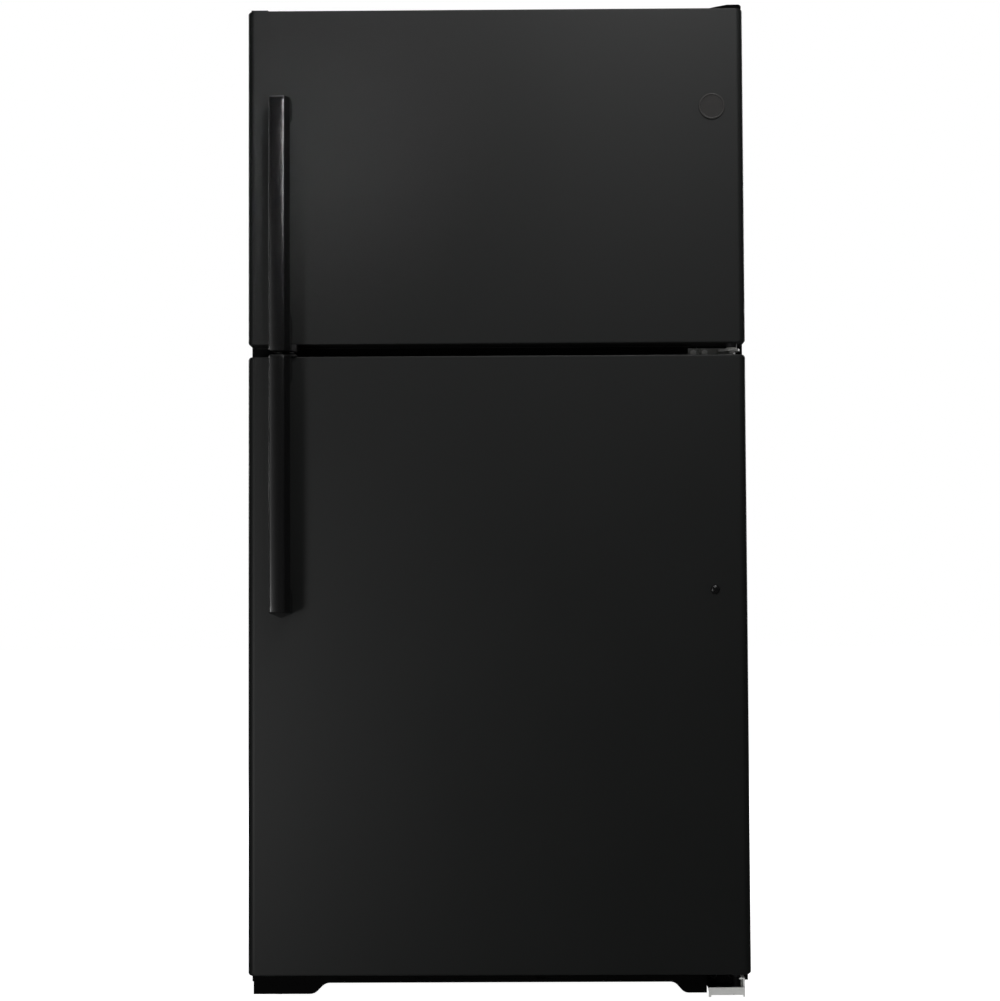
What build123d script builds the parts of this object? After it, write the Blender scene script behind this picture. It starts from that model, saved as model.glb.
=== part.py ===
from build123d import *
import math
import os

# A top freezer refrigerator.  Millimetres; +Z is up, -Y is the front, +X is the hinge side.
# The origin is on the floor under the middle of the whole object, handles included.

os.makedirs("parts", exist_ok=True)

# Cabinet
CASE_HALF = 416.0
CASE_FRONT = -295.0
CASE_BACK = 435.0
CASE_TOP = 1654.0
CASE_BOTTOM = 24.0
CASE_EDGE_RADIUS = 6.0
SHEET = 1.0
LINER = 2.0
FLANGE_INNER_HALF = 366.0
FLANGE_TOP_DROP = 61.0
FLOOR_PANEL_TOP = 60.0
MACHINE_FRONT = 230.0
MACHINE_TOP = 270.0

# Food compartments, inside faces
FRESH_HALF = 360.0
FRESH_BOTTOM = 105.0
FRESH_TOP = 1039.0
FRESH_BACK = 375.0
STEP_FRONT = 185.0
STEP_TOP = 318.0
FREEZER_HALF = 350.0
FREEZER_BOTTOM = 1124.0
FREEZER_TOP = 1588.0
FREEZER_BACK = 372.0
EVAPORATOR_COVER_Y = 300.0
FREEZER_SHELF_Z = 1350.0

# Doors
DOOR_HALF = 415.0
DOOR_FRONT = -373.0
DOOR_BACK = -305.0
DOOR_EDGE_RADIUS = 12.0
DOOR_RETURN = 15.0
CAP_DEPTH = 12.0
CAP_RECESS = 1.2
DOOR_CORNER_RADIUS = 5.0
GASKET_FRONT = DOOR_BACK + LINER
GASKET_BACK = CASE_FRONT - 0.4
GASKET_HALF = 390.0
GASKET_WIDTH = 20.0
FRESH_DOOR_BOTTOM = 44.0
FRESH_DOOR_TOP = 1069.0
FREEZER_DOOR_BOTTOM = 1089.0
FREEZER_DOOR_TOP = 1652.0

# Hinges: both doors turn on one upright line
HINGE_X = 394.0
HINGE_Y = -340.0
PIN_RADIUS = 4.5
PIN_FIT = 0.06
BOSS_RADIUS = 9.0
SCREW_RADIUS = 2.5
SCREW_HOLE_RADIUS = 2.6
SCREW_HEAD_RADIUS = 5.5
SCREW_HEAD_HEIGHT = 3.5
SCREW_LENGTH = 12.0
FLAT_HEAD_RADIUS = 5.0
FLAT_HEAD_DEPTH = 2.5
FASTENER_FIT = 0.1
WASHER_THICKNESS = 2.0
THRUST_GAP = 0.3
CENTER_ARM = (FRESH_DOOR_TOP + 8, FRESH_DOOR_TOP + 12)
BOTTOM_ARM = (17.5, 20.5)
BOTTOM_BOSS_TOP = 38.0

# Handles
HANDLE_LEFT = -373.5
HANDLE_RIGHT = -340.5
HANDLE_TAB_RIGHT = -333.0
HANDLE_TAB_BACK = -343.0
HANDLE_FACET = 8.0
HANDLE_FACET_DEPTH = 14.0
HANDLE_FRONT = -435.0
HANDLE_BOW = 4.0
HANDLE_GRIP_SPACE = 38.0
HANDLE_NOSE = 8.0
HANDLE_FOOT = 36.0
HANDLE_FOOT_RUN = 16.0
HANDLE_SCREW_X = (-363.0, -343.0)
HANDLE_SCREW_Y = -356.0
HANDLE_STUD_SETBACK = 20.0
HANDLE_STUD_RADIUS = 4.0
HANDLE_SHOULDER_RADIUS = 7.0
FREEZER_HANDLE = {"end": 1073.0, "tab": 1077.5, "door": FREEZER_DOOR_BOTTOM, "far": 1504.5}
FRESH_HANDLE = {"end": 1066.5, "tab": 1072.0, "door": FRESH_DOOR_TOP, "far": 634.0}

# Feet and rollers
LEG_X = 370.0
LEG_Y = -262.0
LEG_RADIUS = 18.0
LEG_STEM_RADIUS = 5.9
ROLLER_X = 386.0
ROLLER_Y = 385.0
ROLLER_RADIUS = 17.0
ROLLER_HALF_WIDTH = 12.0
AXLE_RADIUS = 4.0

# Shelves and drawers
SHELF_HALF = 357.0
SHELF_FRONT = -165.0
SHELF_BACK = 368.0
SHELF_HEIGHTS = (560.0, 780.0)
GLASS = 4.0
CRISPER_FRONT = -178.0
CRISPER_BACK = 178.0
CRISPER_BOTTOM = 108.0
CRISPER_RAIL_TOP = 303.0
CRISPER_FLANGE_X = 352.0

nodes = {}


def block(x, y, z):
    """A box between two limits on each axis, each given as a pair."""
    middle = [(low + high) / 2 for low, high in (x, y, z)]
    size = [high - low for low, high in (x, y, z)]
    return Pos(*middle) * Box(*size)


def mirrored(shape):
    """The shape together with its mirror image across the middle plane."""
    return [shape, mirror(shape, Plane.YZ)]


def rod(start, end, radius):
    """A round bar between two points."""
    along = Vector(*end) - Vector(*start)
    return extrude(Plane(origin=start, z_dir=along) * Circle(radius), along.length)


def tube(points, radius, bend):
    """A round tube of straight runs with equal bends."""
    path = FilletPolyline(*points, radius=bend)
    section = Plane(origin=path @ 0, z_dir=path % 0) * Circle(radius)
    return sweep(section, path=path)


def prism_y(outline, y):
    """A flat outline of X and Z points, made solid between two Y limits."""
    face = make_face(Polyline(*[(x, y[0], z) for x, z in outline], close=True))
    return extrude(face, y[1] - y[0], dir=(0, 1, 0))


def hex_screw(seat, axis):
    """A hexagon-head screw: the head stands on the seat and the shank runs along the axis."""
    inward = Plane(origin=seat, z_dir=axis)
    shank = extrude(inward * Circle(SCREW_RADIUS), SCREW_LENGTH)
    head = extrude(inward * RegularPolygon(SCREW_HEAD_RADIUS, 6), -SCREW_HEAD_HEIGHT)
    return head + shank


def flat_screw(seat, axis, length, slack=0.0):
    """A flat-head screw set flush in its seat, or its hole when slack is given."""
    inward = Plane(origin=seat, z_dir=axis)
    shank = extrude(inward * Circle(SCREW_RADIUS + slack), length + slack)
    head = Cone(FLAT_HEAD_RADIUS + slack, SCREW_RADIUS + slack, FLAT_HEAD_DEPTH)
    head = Pos(0, 0, FLAT_HEAD_DEPTH / 2) * head
    return shank + inward * head


def hex_screw_hole(seat, axis):
    """The hole that a hexagon-head screw needs, open a little beyond both ends."""
    inward = Plane(origin=Vector(*seat) - Vector(*axis), z_dir=axis)
    return extrude(inward * Circle(SCREW_HOLE_RADIUS), SCREW_LENGTH + 2)


# ---------------------------------------------------------------- cabinet

TOP_SCREW_SEATS = [(396.0, y, CASE_TOP + 3) for y in (-282.0, -259.0, -236.0)]
CENTER_SCREW_SEATS = [(x, CASE_FRONT - 3, CENTER_ARM[0] + 2.5) for x in (333.0, 352.0)]
BOTTOM_SCREW_SEATS = [(x, CASE_FRONT - 3, 33.0) for x in (358.0, 388.0)]
REAR_COVER_BACK = CASE_BACK - 4
REAR_SCREW_SEATS = [(x, REAR_COVER_BACK, z) for x in (-396.0, 0.0, 396.0) for z in (50.0, 258.0)]
SCREWS = (
    [(seat, (0, 0, -1)) for seat in TOP_SCREW_SEATS]
    + [(seat, (0, 1, 0)) for seat in CENTER_SCREW_SEATS + BOTTOM_SCREW_SEATS]
    + [(seat, (0, -1, 0)) for seat in REAR_SCREW_SEATS]
)
GLAND_X = -360.0
GLAND_Z = 110.0
GLAND_RADIUS = 10.0


def rounded_case(y, inset):
    """The cabinet's outline with its rounded top edges, as a solid between two Y limits."""
    half = CASE_HALF - inset
    whole = block((-half, half), y, (CASE_BOTTOM, CASE_TOP - inset))
    edges = whole.edges().filter_by(Axis.Y).group_by(Axis.Z)[-1]
    return fillet(edges, CASE_EDGE_RADIUS - inset)


def cabinet_shell():
    """Side and top panels in one bent sheet, with the front flange that the gaskets seal on."""
    depth = (CASE_FRONT, CASE_BACK - SHEET)
    outer = rounded_case(depth, 0.0)
    hollow = rounded_case((depth[0] - 1, depth[1] + 1), SHEET)
    below = block((-CASE_HALF + SHEET, CASE_HALF - SHEET), depth, (CASE_BOTTOM - 1, CASE_BOTTOM + 1))
    flange = rounded_case((CASE_FRONT, CASE_FRONT + SHEET), 0.0)
    opening = block(
        (-FLANGE_INNER_HALF, FLANGE_INNER_HALF),
        (CASE_FRONT - 1, CASE_FRONT + 2),
        (CASE_BOTTOM - 1, CASE_TOP - FLANGE_TOP_DROP),
    )
    return outer - hollow - below + (flange - opening)


def floor_panel():
    """The sheet under the insulation: front face, floor, and the step over the machine space."""
    half = CASE_HALF - SHEET
    front = block((-half, half), (CASE_FRONT + SHEET, CASE_FRONT + 2 * SHEET), (CASE_BOTTOM, 98.0))
    foot = block((-half, half), (CASE_FRONT + 2 * SHEET, LEG_Y + 26), (CASE_BOTTOM, CASE_BOTTOM + 2))
    floor = block(
        (-half, half),
        (CASE_FRONT + 2 * SHEET, MACHINE_FRONT),
        (FLOOR_PANEL_TOP - SHEET, FLOOR_PANEL_TOP),
    )
    wall = block(
        (-half, half), (MACHINE_FRONT - SHEET, MACHINE_FRONT), (FLOOR_PANEL_TOP, MACHINE_TOP)
    )
    roof = block(
        (-half, half), (MACHINE_FRONT, CASE_BACK - SHEET), (MACHINE_TOP - SHEET, MACHINE_TOP)
    )
    lip = rear_lip((MACHINE_TOP - 24, MACHINE_TOP))
    panel = front + foot + floor + wall + roof + lip
    for x in (-LEG_X, LEG_X):
        nut = Pos(x, LEG_Y, CASE_BOTTOM + 8) * Cylinder(13.0, 16.0)
        bore = Pos(x, LEG_Y, CASE_BOTTOM + 8) * Cylinder(LEG_STEM_RADIUS + PIN_FIT, 20.0)
        panel = panel + nut - bore
    return panel


def rear_lip(z):
    """A turned edge that the rear cover screws to."""
    half = CASE_HALF - SHEET
    return block((-half, half), (REAR_COVER_BACK - 3, REAR_COVER_BACK - 2), z)


def base_pan():
    """The steel tray of the machine space, with a fork for each rear roller."""
    half = CASE_HALF - SHEET
    pan = block((-half, half), (MACHINE_FRONT, REAR_COVER_BACK - 2), (38.0, 40.0))
    pan += rear_lip((38.0, 62.0))
    pan += block((-half, half), (MACHINE_FRONT, MACHINE_FRONT + 2), (40.0, 58.0))
    for side in (-1, 1):
        for offset in (-ROLLER_HALF_WIDTH - 2, ROLLER_HALF_WIDTH + 2):
            x = side * ROLLER_X + offset
            cheek = block((x - 1, x + 1), (ROLLER_Y - 14, ROLLER_Y + 14), (9.0, 38.0))
            near = (x - 2, ROLLER_Y, ROLLER_RADIUS)
            far = (x + 2, ROLLER_Y, ROLLER_RADIUS)
            hole = rod(near, far, AXLE_RADIUS + PIN_FIT)
            pan = pan + cheek - hole
    vents = [block((x, x + 50), (300.0, 306.0), (37.0, 41.0)) for x in range(-80, 340, 70)]
    return pan - vents


def roller_axle(side):
    """A pin through one roller fork."""
    reach = ROLLER_HALF_WIDTH + 5
    start = (side * ROLLER_X - reach, ROLLER_Y, ROLLER_RADIUS)
    end = (side * ROLLER_X + reach, ROLLER_Y, ROLLER_RADIUS)
    return rod(start, end, AXLE_RADIUS)


def roller(side):
    """A nylon rear roller with a groove in its tread."""
    centre = (side * ROLLER_X, ROLLER_Y, ROLLER_RADIUS)
    start = (centre[0] - ROLLER_HALF_WIDTH, ROLLER_Y, ROLLER_RADIUS)
    end = (centre[0] + ROLLER_HALF_WIDTH, ROLLER_Y, ROLLER_RADIUS)
    wheel = rod(start, end, ROLLER_RADIUS)
    wheel = chamfer(wheel.edges().filter_by(GeomType.CIRCLE), 1.5)
    groove = Pos(*centre) * Rot(0, 90, 0) * (Cylinder(20.0, 3.0) - Cylinder(ROLLER_RADIUS - 1.5, 3.0))
    return wheel - groove - rod(start, end, AXLE_RADIUS + PIN_FIT)


def levelling_leg(side):
    """A threaded front leg: a foot disc, a hexagon for the spanner and the stem."""
    disc = Pos(side * LEG_X, LEG_Y, 3.0) * Cylinder(LEG_RADIUS, 6.0)
    disc = fillet(disc.edges().filter_by(GeomType.CIRCLE), 1.2)
    hexagon = Pos(side * LEG_X, LEG_Y, 6.0) * extrude(RegularPolygon(10.0, 6), 7.0)
    stem = Pos(side * LEG_X, LEG_Y, 34.0) * Cylinder(LEG_STEM_RADIUS, 44.0)
    return disc + hexagon + stem


def food_box(half, y_back, z, step):
    """The solid volume of a compartment; step is the Y and Z where its floor rises, or None."""
    whole = block((-half, half), (CASE_FRONT + SHEET, y_back), z)
    if step:
        whole -= block((-half - 1, half + 1), (step[0], y_back + 1), (z[0] - 1, step[1]))
    return whole


def fresh_outer():
    return food_box(
        FRESH_HALF + LINER,
        FRESH_BACK + LINER,
        (FRESH_BOTTOM - LINER, FRESH_TOP + LINER),
        (STEP_FRONT + LINER, STEP_TOP - LINER),
    )


def freezer_outer():
    return food_box(
        FREEZER_HALF + LINER, FREEZER_BACK + LINER, (FREEZER_BOTTOM - LINER, FREEZER_TOP + LINER), None
    )


def liner_flange(half, z):
    """The liner's front rim, which the cabinet flange overlaps."""
    rim = block((-half - 14, half + 14), (CASE_FRONT + SHEET, CASE_FRONT + SHEET + LINER), z)
    return rim


def fresh_food_liner():
    """The fresh food compartment's moulded box, with its ledges and the door switch boss."""
    inner = food_box(FRESH_HALF, FRESH_BACK, (FRESH_BOTTOM, FRESH_TOP), (STEP_FRONT, STEP_TOP))
    liner = fresh_outer() + liner_flange(FRESH_HALF, (98.0, FRESH_TOP + 4)) - inner
    for side in (-1, 1):
        wall = side * FRESH_HALF
        crisper_rail = block(sorted((side * 346.5, wall)), (-168.0, 178.0), (299.0, CRISPER_RAIL_TOP))
        cover_ledge = block(sorted((side * 352.0, wall)), (-168.0, 180.0), (312.0, STEP_TOP))
        liner += [crisper_rail, cover_ledge]
        for height in SHELF_HEIGHTS:
            ledge = block(sorted((side * 351.0, wall)), (-150.0, 362.0), (height - 22, height - 14))
            liner += ledge
    boss = block((-300.0, -270.0), (-288.0, -250.0), (FRESH_TOP - 24, FRESH_TOP))
    bore = rod((-285.0, -290.0, SWITCH_Z), (-285.0, -256.0, SWITCH_Z), SWITCH_RADIUS + PIN_FIT)
    return liner + boss - bore


def freezer_liner():
    """The freezer compartment's moulded box with its shelf ledges."""
    inner = food_box(FREEZER_HALF, FREEZER_BACK, (FREEZER_BOTTOM, FREEZER_TOP), None)
    flange = liner_flange(FREEZER_HALF, (FREEZER_BOTTOM - 4, FREEZER_TOP + 14))
    liner = freezer_outer() + flange - inner
    for side in (-1, 1):
        ledge_z = (FREEZER_SHELF_Z - 11, FREEZER_SHELF_Z - 4)
        liner += block(sorted((side * 341.0, side * FREEZER_HALF)), (-170.0, 285.0), ledge_z)
    return liner


def center_rail():
    """The steel rail across the front between the compartments."""
    x = (-FLANGE_INNER_HALF, FLANGE_INNER_HALF)
    return block(x, (CASE_FRONT, CASE_FRONT + 2), (FRESH_TOP + 4, FREEZER_BOTTOM - 4))


def cabinet_foam():
    """Foam that fills the space between the shell and the liners."""
    half = CASE_HALF - SHEET
    foam = rounded_case((CASE_FRONT + 3, CASE_BACK - SHEET), SHEET)
    foam -= block((-half, half), (CASE_FRONT, CASE_BACK), (CASE_BOTTOM - 1, FLOOR_PANEL_TOP))
    foam -= block(
        (-half, half), (MACHINE_FRONT - SHEET, CASE_BACK), (FLOOR_PANEL_TOP - 1, MACHINE_TOP)
    )
    return foam - fresh_outer() - freezer_outer()


def rear_access_cover():
    """The cover of the machine space, with rows of air slots and the cord inlet hole."""
    y = (REAR_COVER_BACK - 2, REAR_COVER_BACK)
    cover = block((-412.0, 412.0), y, (40.0, MACHINE_TOP - SHEET))
    slots = [
        block((x, x + 84.0), (y[0] - 1, y[1] + 1), (z, z + 6.0))
        for x in range(-290, 290, 100)
        for z in range(76, 236, 22)
    ]
    hole = rod((GLAND_X, y[0] - 1, GLAND_Z), (GLAND_X, y[1] + 1, GLAND_Z), GLAND_RADIUS)
    return cover - slots - hole


def cord_gland():
    """The rubber inlet in the rear cover."""
    y = REAR_COVER_BACK - 2
    outer = rod((GLAND_X, y - 3, GLAND_Z), (GLAND_X, y, GLAND_Z), GLAND_RADIUS + 3)
    barrel = rod((GLAND_X, y - 3, GLAND_Z), (GLAND_X, CASE_BACK, GLAND_Z), GLAND_RADIUS)
    hole = rod((GLAND_X, y - 4, GLAND_Z), (GLAND_X, CASE_BACK + 1, GLAND_Z), 4.5)
    return outer + barrel - hole


# ---------------------------------------------------------------- toe grille

GRILLE_FRONT = -322.0
GRILLE_TOP = 42.0
GRILLE_FOOT = 7.0
GRILLE_ARCH = 25.2


def toe_grille():
    """The lower front cover: two feet joined by S-curves to a raised middle, with air slots."""
    left = -411.0
    right = 345.0
    runs = [(left, -317.0, -283.0), (right, 315.0, 284.0)]
    y = GRILLE_FRONT
    curves = []
    for outer, foot_end, arch_end in runs:
        middle = (foot_end + arch_end) / 2
        points = [(foot_end, y, GRILLE_FOOT), (middle, y, GRILLE_FOOT)]
        points += [(middle, y, GRILLE_ARCH), (arch_end, y, GRILLE_ARCH)]
        curves += [Line((outer, y, GRILLE_FOOT), points[0]), Bezier(*points)]
        curves += [Line((outer, y, GRILLE_FOOT), (outer, y, GRILLE_TOP))]
    curves += [Line((runs[0][2], y, GRILLE_ARCH), (runs[1][2], y, GRILLE_ARCH))]
    curves += [Line((left, y, GRILLE_TOP), (right, y, GRILLE_TOP))]
    plate = extrude(make_face(curves), 3.0, dir=(0, 1, 0))
    shelf = block((left, right), (GRILLE_FRONT + 3, CASE_FRONT - 1), (GRILLE_TOP - 3, GRILLE_TOP))
    clips = [
        block((x, x + 16.0), (CASE_FRONT - 4, CASE_FRONT), (28.0, GRILLE_TOP))
        for x in (-360.0, -150.0, 60.0, 290.0)
    ]
    slots = [block((x, x + 52.0), (y - 1, y + 4), (31.0, 34.0)) for x in range(-270, 240, 66)]
    return plate + shelf + clips - slots


# ---------------------------------------------------------------- hinges


def hinge_pin(low, high, radius=PIN_RADIUS):
    return rod((HINGE_X, HINGE_Y, low), (HINGE_X, HINGE_Y, high), radius)


def top_hinge():
    """A flat steel plate on the cabinet top with the pin for the freezer door."""
    plate = block((380.0, 408.0), (HINGE_Y, -226.0), (CASE_TOP, CASE_TOP + 3))
    plate += hinge_pin(CASE_TOP, CASE_TOP + 3, 14.0)
    plate += hinge_pin(CASE_TOP - 24, CASE_TOP + 1)
    for seat in TOP_SCREW_SEATS:
        plate -= hex_screw_hole(seat, (0, 0, -1))
    return plate


def top_hinge_cover():
    """The moulded cap over the top hinge; its left side slopes down to the cabinet top."""
    wall = 1.5
    top = CASE_TOP + 8.5
    left = 355.0
    right = 413.5
    outline = [(left, CASE_TOP), (391.0, top), (right - 3, top), (right, top - 3), (right, CASE_TOP)]
    hollow = [
        (left + 7, CASE_TOP - 1),
        (left + 7, CASE_TOP),
        (389.0, top - wall),
        (right - 4, top - wall),
        (right - wall, top - 4),
        (right - wall, CASE_TOP - 1),
    ]
    cover = prism_y(outline, (-358.0, -212.0))
    front = cover.faces().filter_by(Plane.XZ).sort_by(Axis.Y)[0]
    cover = chamfer(front.edges().group_by(Axis.Z)[-1], 5.0)
    return cover - prism_y(hollow, (-358.0 + wall, -212.0 - wall))


def center_hinge():
    """The bracket between the doors: a flange on the center rail and an arm with two pins."""
    bracket = block((324.0, 404.0), (CASE_FRONT - 3, CASE_FRONT), (CENTER_ARM[0] - 5, CENTER_ARM[1] + 6))
    bracket += block((372.0, 404.0), (HINGE_Y, CASE_FRONT - 3), CENTER_ARM)
    bracket += hinge_pin(*CENTER_ARM, 13.0)
    bracket += hinge_pin(CENTER_ARM[0] - 22, CENTER_ARM[1] + 20)
    for seat in CENTER_SCREW_SEATS:
        bracket -= hex_screw_hole(seat, (0, 1, 0))
    return bracket


def bottom_hinge():
    """The plated bracket that carries the fresh food door: arm, turned-down lip, flanges and pin."""
    x = (345.7, 405.5)
    front = -355.0
    lip_back = front + 3
    back = CASE_FRONT - 3
    lip_bottom = 8.0
    bracket = block(x, (back, CASE_FRONT), (BOTTOM_ARM[0], 43.0))
    bracket += block(x, (lip_back, back), BOTTOM_ARM)
    bracket += block(x, (front, lip_back), (lip_bottom, BOTTOM_ARM[1]))
    for toe in ((x[0], x[0] + 4), (x[1] - 3, x[1])):
        bracket += block(toe, (front, lip_back), (5.0, lip_bottom))
    bracket += block((x[1] - 3, x[1]), (lip_back, back), (BOTTOM_ARM[1], 36.0))
    bracket += block((x[1] - 9, x[1]), (lip_back, back - 30), (33.5, 36.0))
    bracket += hinge_pin(BOTTOM_ARM[1], BOTTOM_BOSS_TOP, 8.0)
    bracket += hinge_pin(BOTTOM_BOSS_TOP, 64.0)
    for seat in BOTTOM_SCREW_SEATS:
        bracket -= hex_screw_hole(seat, (0, 1, 0))
    return bracket


def thrust_washer(low):
    """A nylon washer round a hinge pin, which a door's collar turns on."""
    high = low + WASHER_THICKNESS
    return hinge_pin(low, high, BOSS_RADIUS) - hinge_pin(low, high, PIN_RADIUS + PIN_FIT)


# ---------------------------------------------------------------- cooling system

FAN_Z = 155.0
FAN_Y = 331.0
EVAPORATOR_FAN_Z = 1436.0


def compressor():
    """The hermetic compressor: a welded can on a base plate, with its terminal cover."""
    can = Pos(-230.0, 331.0, 140.0) * Cylinder(74.0, 160.0)
    can = fillet(can.edges().filter_by(GeomType.CIRCLE), 45.0)
    seam = Pos(-230.0, 331.0, 150.0) * Cylinder(77.0, 6.0)
    plate = block((-320.0, -140.0), (262.0, 400.0), (52.0, 56.0))
    feet = [
        Pos(x, y, 46.0) * Cylinder(11.0, 12.0) for x in (-306.0, -154.0) for y in (276.0, 386.0)
    ]
    post = Pos(-230.0, 331.0, 60.0) * Cylinder(40.0, 12.0)
    terminal = block((-168.0, -136.0), (300.0, 362.0), (105.0, 175.0))
    return can + seam + plate + feet + post + terminal


def condenser_fan_motor():
    """The condenser fan's motor on its floor bracket."""
    motor = rod((-108.0, FAN_Y, FAN_Z), (-66.0, FAN_Y, FAN_Z), 24.0)
    bracket = block((-96.0, -78.0), (FAN_Y - 10, FAN_Y + 10), (40.0, FAN_Z - 20))
    foot = block((-106.0, -68.0), (FAN_Y - 24, FAN_Y + 24), (40.0, 43.0))
    shaft = rod((-66.0, FAN_Y, FAN_Z), (-34.0, FAN_Y, FAN_Z), 2.5)
    return motor + bracket + foot + shaft


def fan_blade(centre, axis, radius, hub_radius, depth):
    """A four-bladed fan: a hub with a shaft bore and pitched blades."""
    plane = Plane(origin=centre, z_dir=axis)
    hub = extrude(plane * Circle(hub_radius), depth)
    fan = hub
    for quarter in range(4):
        blade = Box(radius - hub_radius + 4, 26.0, 1.6)
        blade = Rot(28, 0, 0) * blade
        blade = Pos((radius + hub_radius) / 2 - 2, 0, depth / 2) * blade
        fan += plane * (Rot(0, 0, 90 * quarter) * blade)
    return fan - extrude(plane * Circle(2.5 + PIN_FIT), depth)


def condenser_coil():
    """Three upright serpentine panels of one steel tube, behind the fan."""
    points = []
    left = 20.0
    right = 392.0
    at_left = True
    for panel, y in enumerate((270.0, 331.0, 392.0)):
        rows = [70.0 + 30 * row for row in range(6)]
        for z in rows if panel % 2 == 0 else reversed(rows):
            ends = (left, right) if at_left else (right, left)
            points += [(ends[0], y, z), (ends[1], y, z)]
            at_left = not at_left
    return tube(points, 3.2, 10.0)


def evaporator_coil():
    """The finned freezer coil behind the rear cover."""
    points = []
    at_left = True
    for layer, y in enumerate((326.0, 352.0)):
        rows = [FREEZER_BOTTOM + 30 + 28 * row for row in range(6)]
        for z in rows if layer == 0 else reversed(rows):
            ends = (-250.0, 250.0) if at_left else (250.0, -250.0)
            points += [(ends[0], y, z), (ends[1], y, z)]
            at_left = not at_left
    coil = tube(points, 4.0, 10.0)
    fin_z = (FREEZER_BOTTOM + 15, FREEZER_BOTTOM + 187)
    fins = [block((x, x + 1.0), (316.0, 362.0), fin_z) for x in range(-225, 226, 30)]
    return coil + fins


def evaporator_cover():
    """The freezer's rear panel, with the fan grille and the return air slots."""
    y = (EVAPORATOR_COVER_Y, EVAPORATOR_COVER_Y + 3)
    half = FREEZER_HALF - 0.5
    cover = block((-half, half), y, (FREEZER_BOTTOM + 0.5, FREEZER_TOP - 0.5))
    cut = (y[0] - 1, y[1] + 1)
    radius = 50.0
    slots = []
    for step in range(-4, 5):
        reach = math.sqrt(radius**2 - (step * 11.0) ** 2)
        x = step * 11.0
        slots.append(block((x - 3.5, x + 3.5), cut, (EVAPORATOR_FAN_Z - reach, EVAPORATOR_FAN_Z + reach)))
    return_z = (FREEZER_BOTTOM + 13, FREEZER_BOTTOM + 23)
    slots += [block((x, x + 30.0), cut, return_z) for x in range(-300, 290, 44)]
    return cover - slots


def evaporator_fan_motor():
    """The evaporator fan's motor, carried on a strap behind the rear cover."""
    front = EVAPORATOR_COVER_Y + 3
    motor = rod((0, 332.0, EVAPORATOR_FAN_Z), (0, 364.0, EVAPORATOR_FAN_Z), 24.0)
    strap = block((-70.0, 70.0), (330.0, 332.0), (EVAPORATOR_FAN_Z - 6, EVAPORATOR_FAN_Z + 6))
    legs = mirrored(block((66.0, 70.0), (front, 332.0), (EVAPORATOR_FAN_Z - 6, EVAPORATOR_FAN_Z + 6)))
    shaft = rod((0, 308.0, EVAPORATOR_FAN_Z), (0, 331.0, EVAPORATOR_FAN_Z), 2.5)
    return motor + strap + legs + shaft


# ---------------------------------------------------------------- fresh food fittings

SWITCH_Z = FRESH_TOP - 12
SWITCH_RADIUS = 4.0
SWITCH_TIP = DOOR_BACK + LINER + 0.6
DIAL_Z = FRESH_TOP - 26
HOUSING_BOTTOM = FRESH_TOP - 48
DIAL_X = 90.0
SLIDER_X = 180.0
SLIDER_TRAVEL = 20.0
COVER_FRONT = -176.0


def control_housing():
    """The temperature control and lamp housing under the compartment's ceiling."""
    outer = block((-170.0, 170.0), (-150.0, 60.0), (HOUSING_BOTTOM, FRESH_TOP))
    bevel = outer.edges().filter_by(Axis.X).group_by(Axis.Z)[0].sort_by(Axis.Y)[0]
    outer = chamfer(bevel, 6.0)
    hollow = block((-167.0, 167.0), (-147.0, 57.0), (HOUSING_BOTTOM + 3, FRESH_TOP + 1))
    lamp_window = block((-150.0, 20.0), (-100.0, 30.0), (HOUSING_BOTTOM - 1, HOUSING_BOTTOM + 4))
    dial_hole = rod((DIAL_X, -152.0, DIAL_Z), (DIAL_X, -140.0, DIAL_Z), 3.0 + PIN_FIT)
    return outer - hollow - lamp_window - dial_hole


def light_lens():
    """The clear lamp cover that fills the housing's window."""
    lens = block((-149.7, 19.7), (-99.7, 29.7), (HOUSING_BOTTOM - 2, HOUSING_BOTTOM + 4))
    rim = block((-154.0, 24.0), (-104.0, 34.0), (HOUSING_BOTTOM + 3, HOUSING_BOTTOM + 5))
    return lens + rim


def temperature_dial():
    """A turned knob with a finger bar and a shaft into the housing."""
    face = Plane(origin=(DIAL_X, -151.0, DIAL_Z), z_dir=(0, -1, 0))
    knob = extrude(face * Circle(17.0), 4.0)
    bar = extrude(face * RectangleRounded(7.0, 30.0, 3.4), 13.0)
    shaft = extrude(face * Circle(3.0), -10.0)
    return knob + bar + shaft


def switch_plunger():
    """The door switch's plunger, which the closed door holds in."""
    return rod((-285.0, SWITCH_TIP, SWITCH_Z), (-285.0, -266.0, SWITCH_Z), SWITCH_RADIUS)


def shelf_frame(height):
    """A moulded shelf frame that sits on the liner's ledges and carries a pane."""

    def plate(inset, z):
        half = SHELF_HALF - inset
        return block((-half, half), (SHELF_FRONT + inset, SHELF_BACK - inset), z)

    ring = plate(0, (height - 14, height))
    return ring - plate(16, (height - 15, height + 1)) - plate(8, (height - GLASS, height + 1))


def shelf_pane(height):
    """The glass of one shelf."""
    inset = 8.2
    x = (-SHELF_HALF + inset, SHELF_HALF - inset)
    return block(x, (SHELF_FRONT + inset, SHELF_BACK - inset), (height - GLASS, height))


COVER_TOP = 345.0


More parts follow.
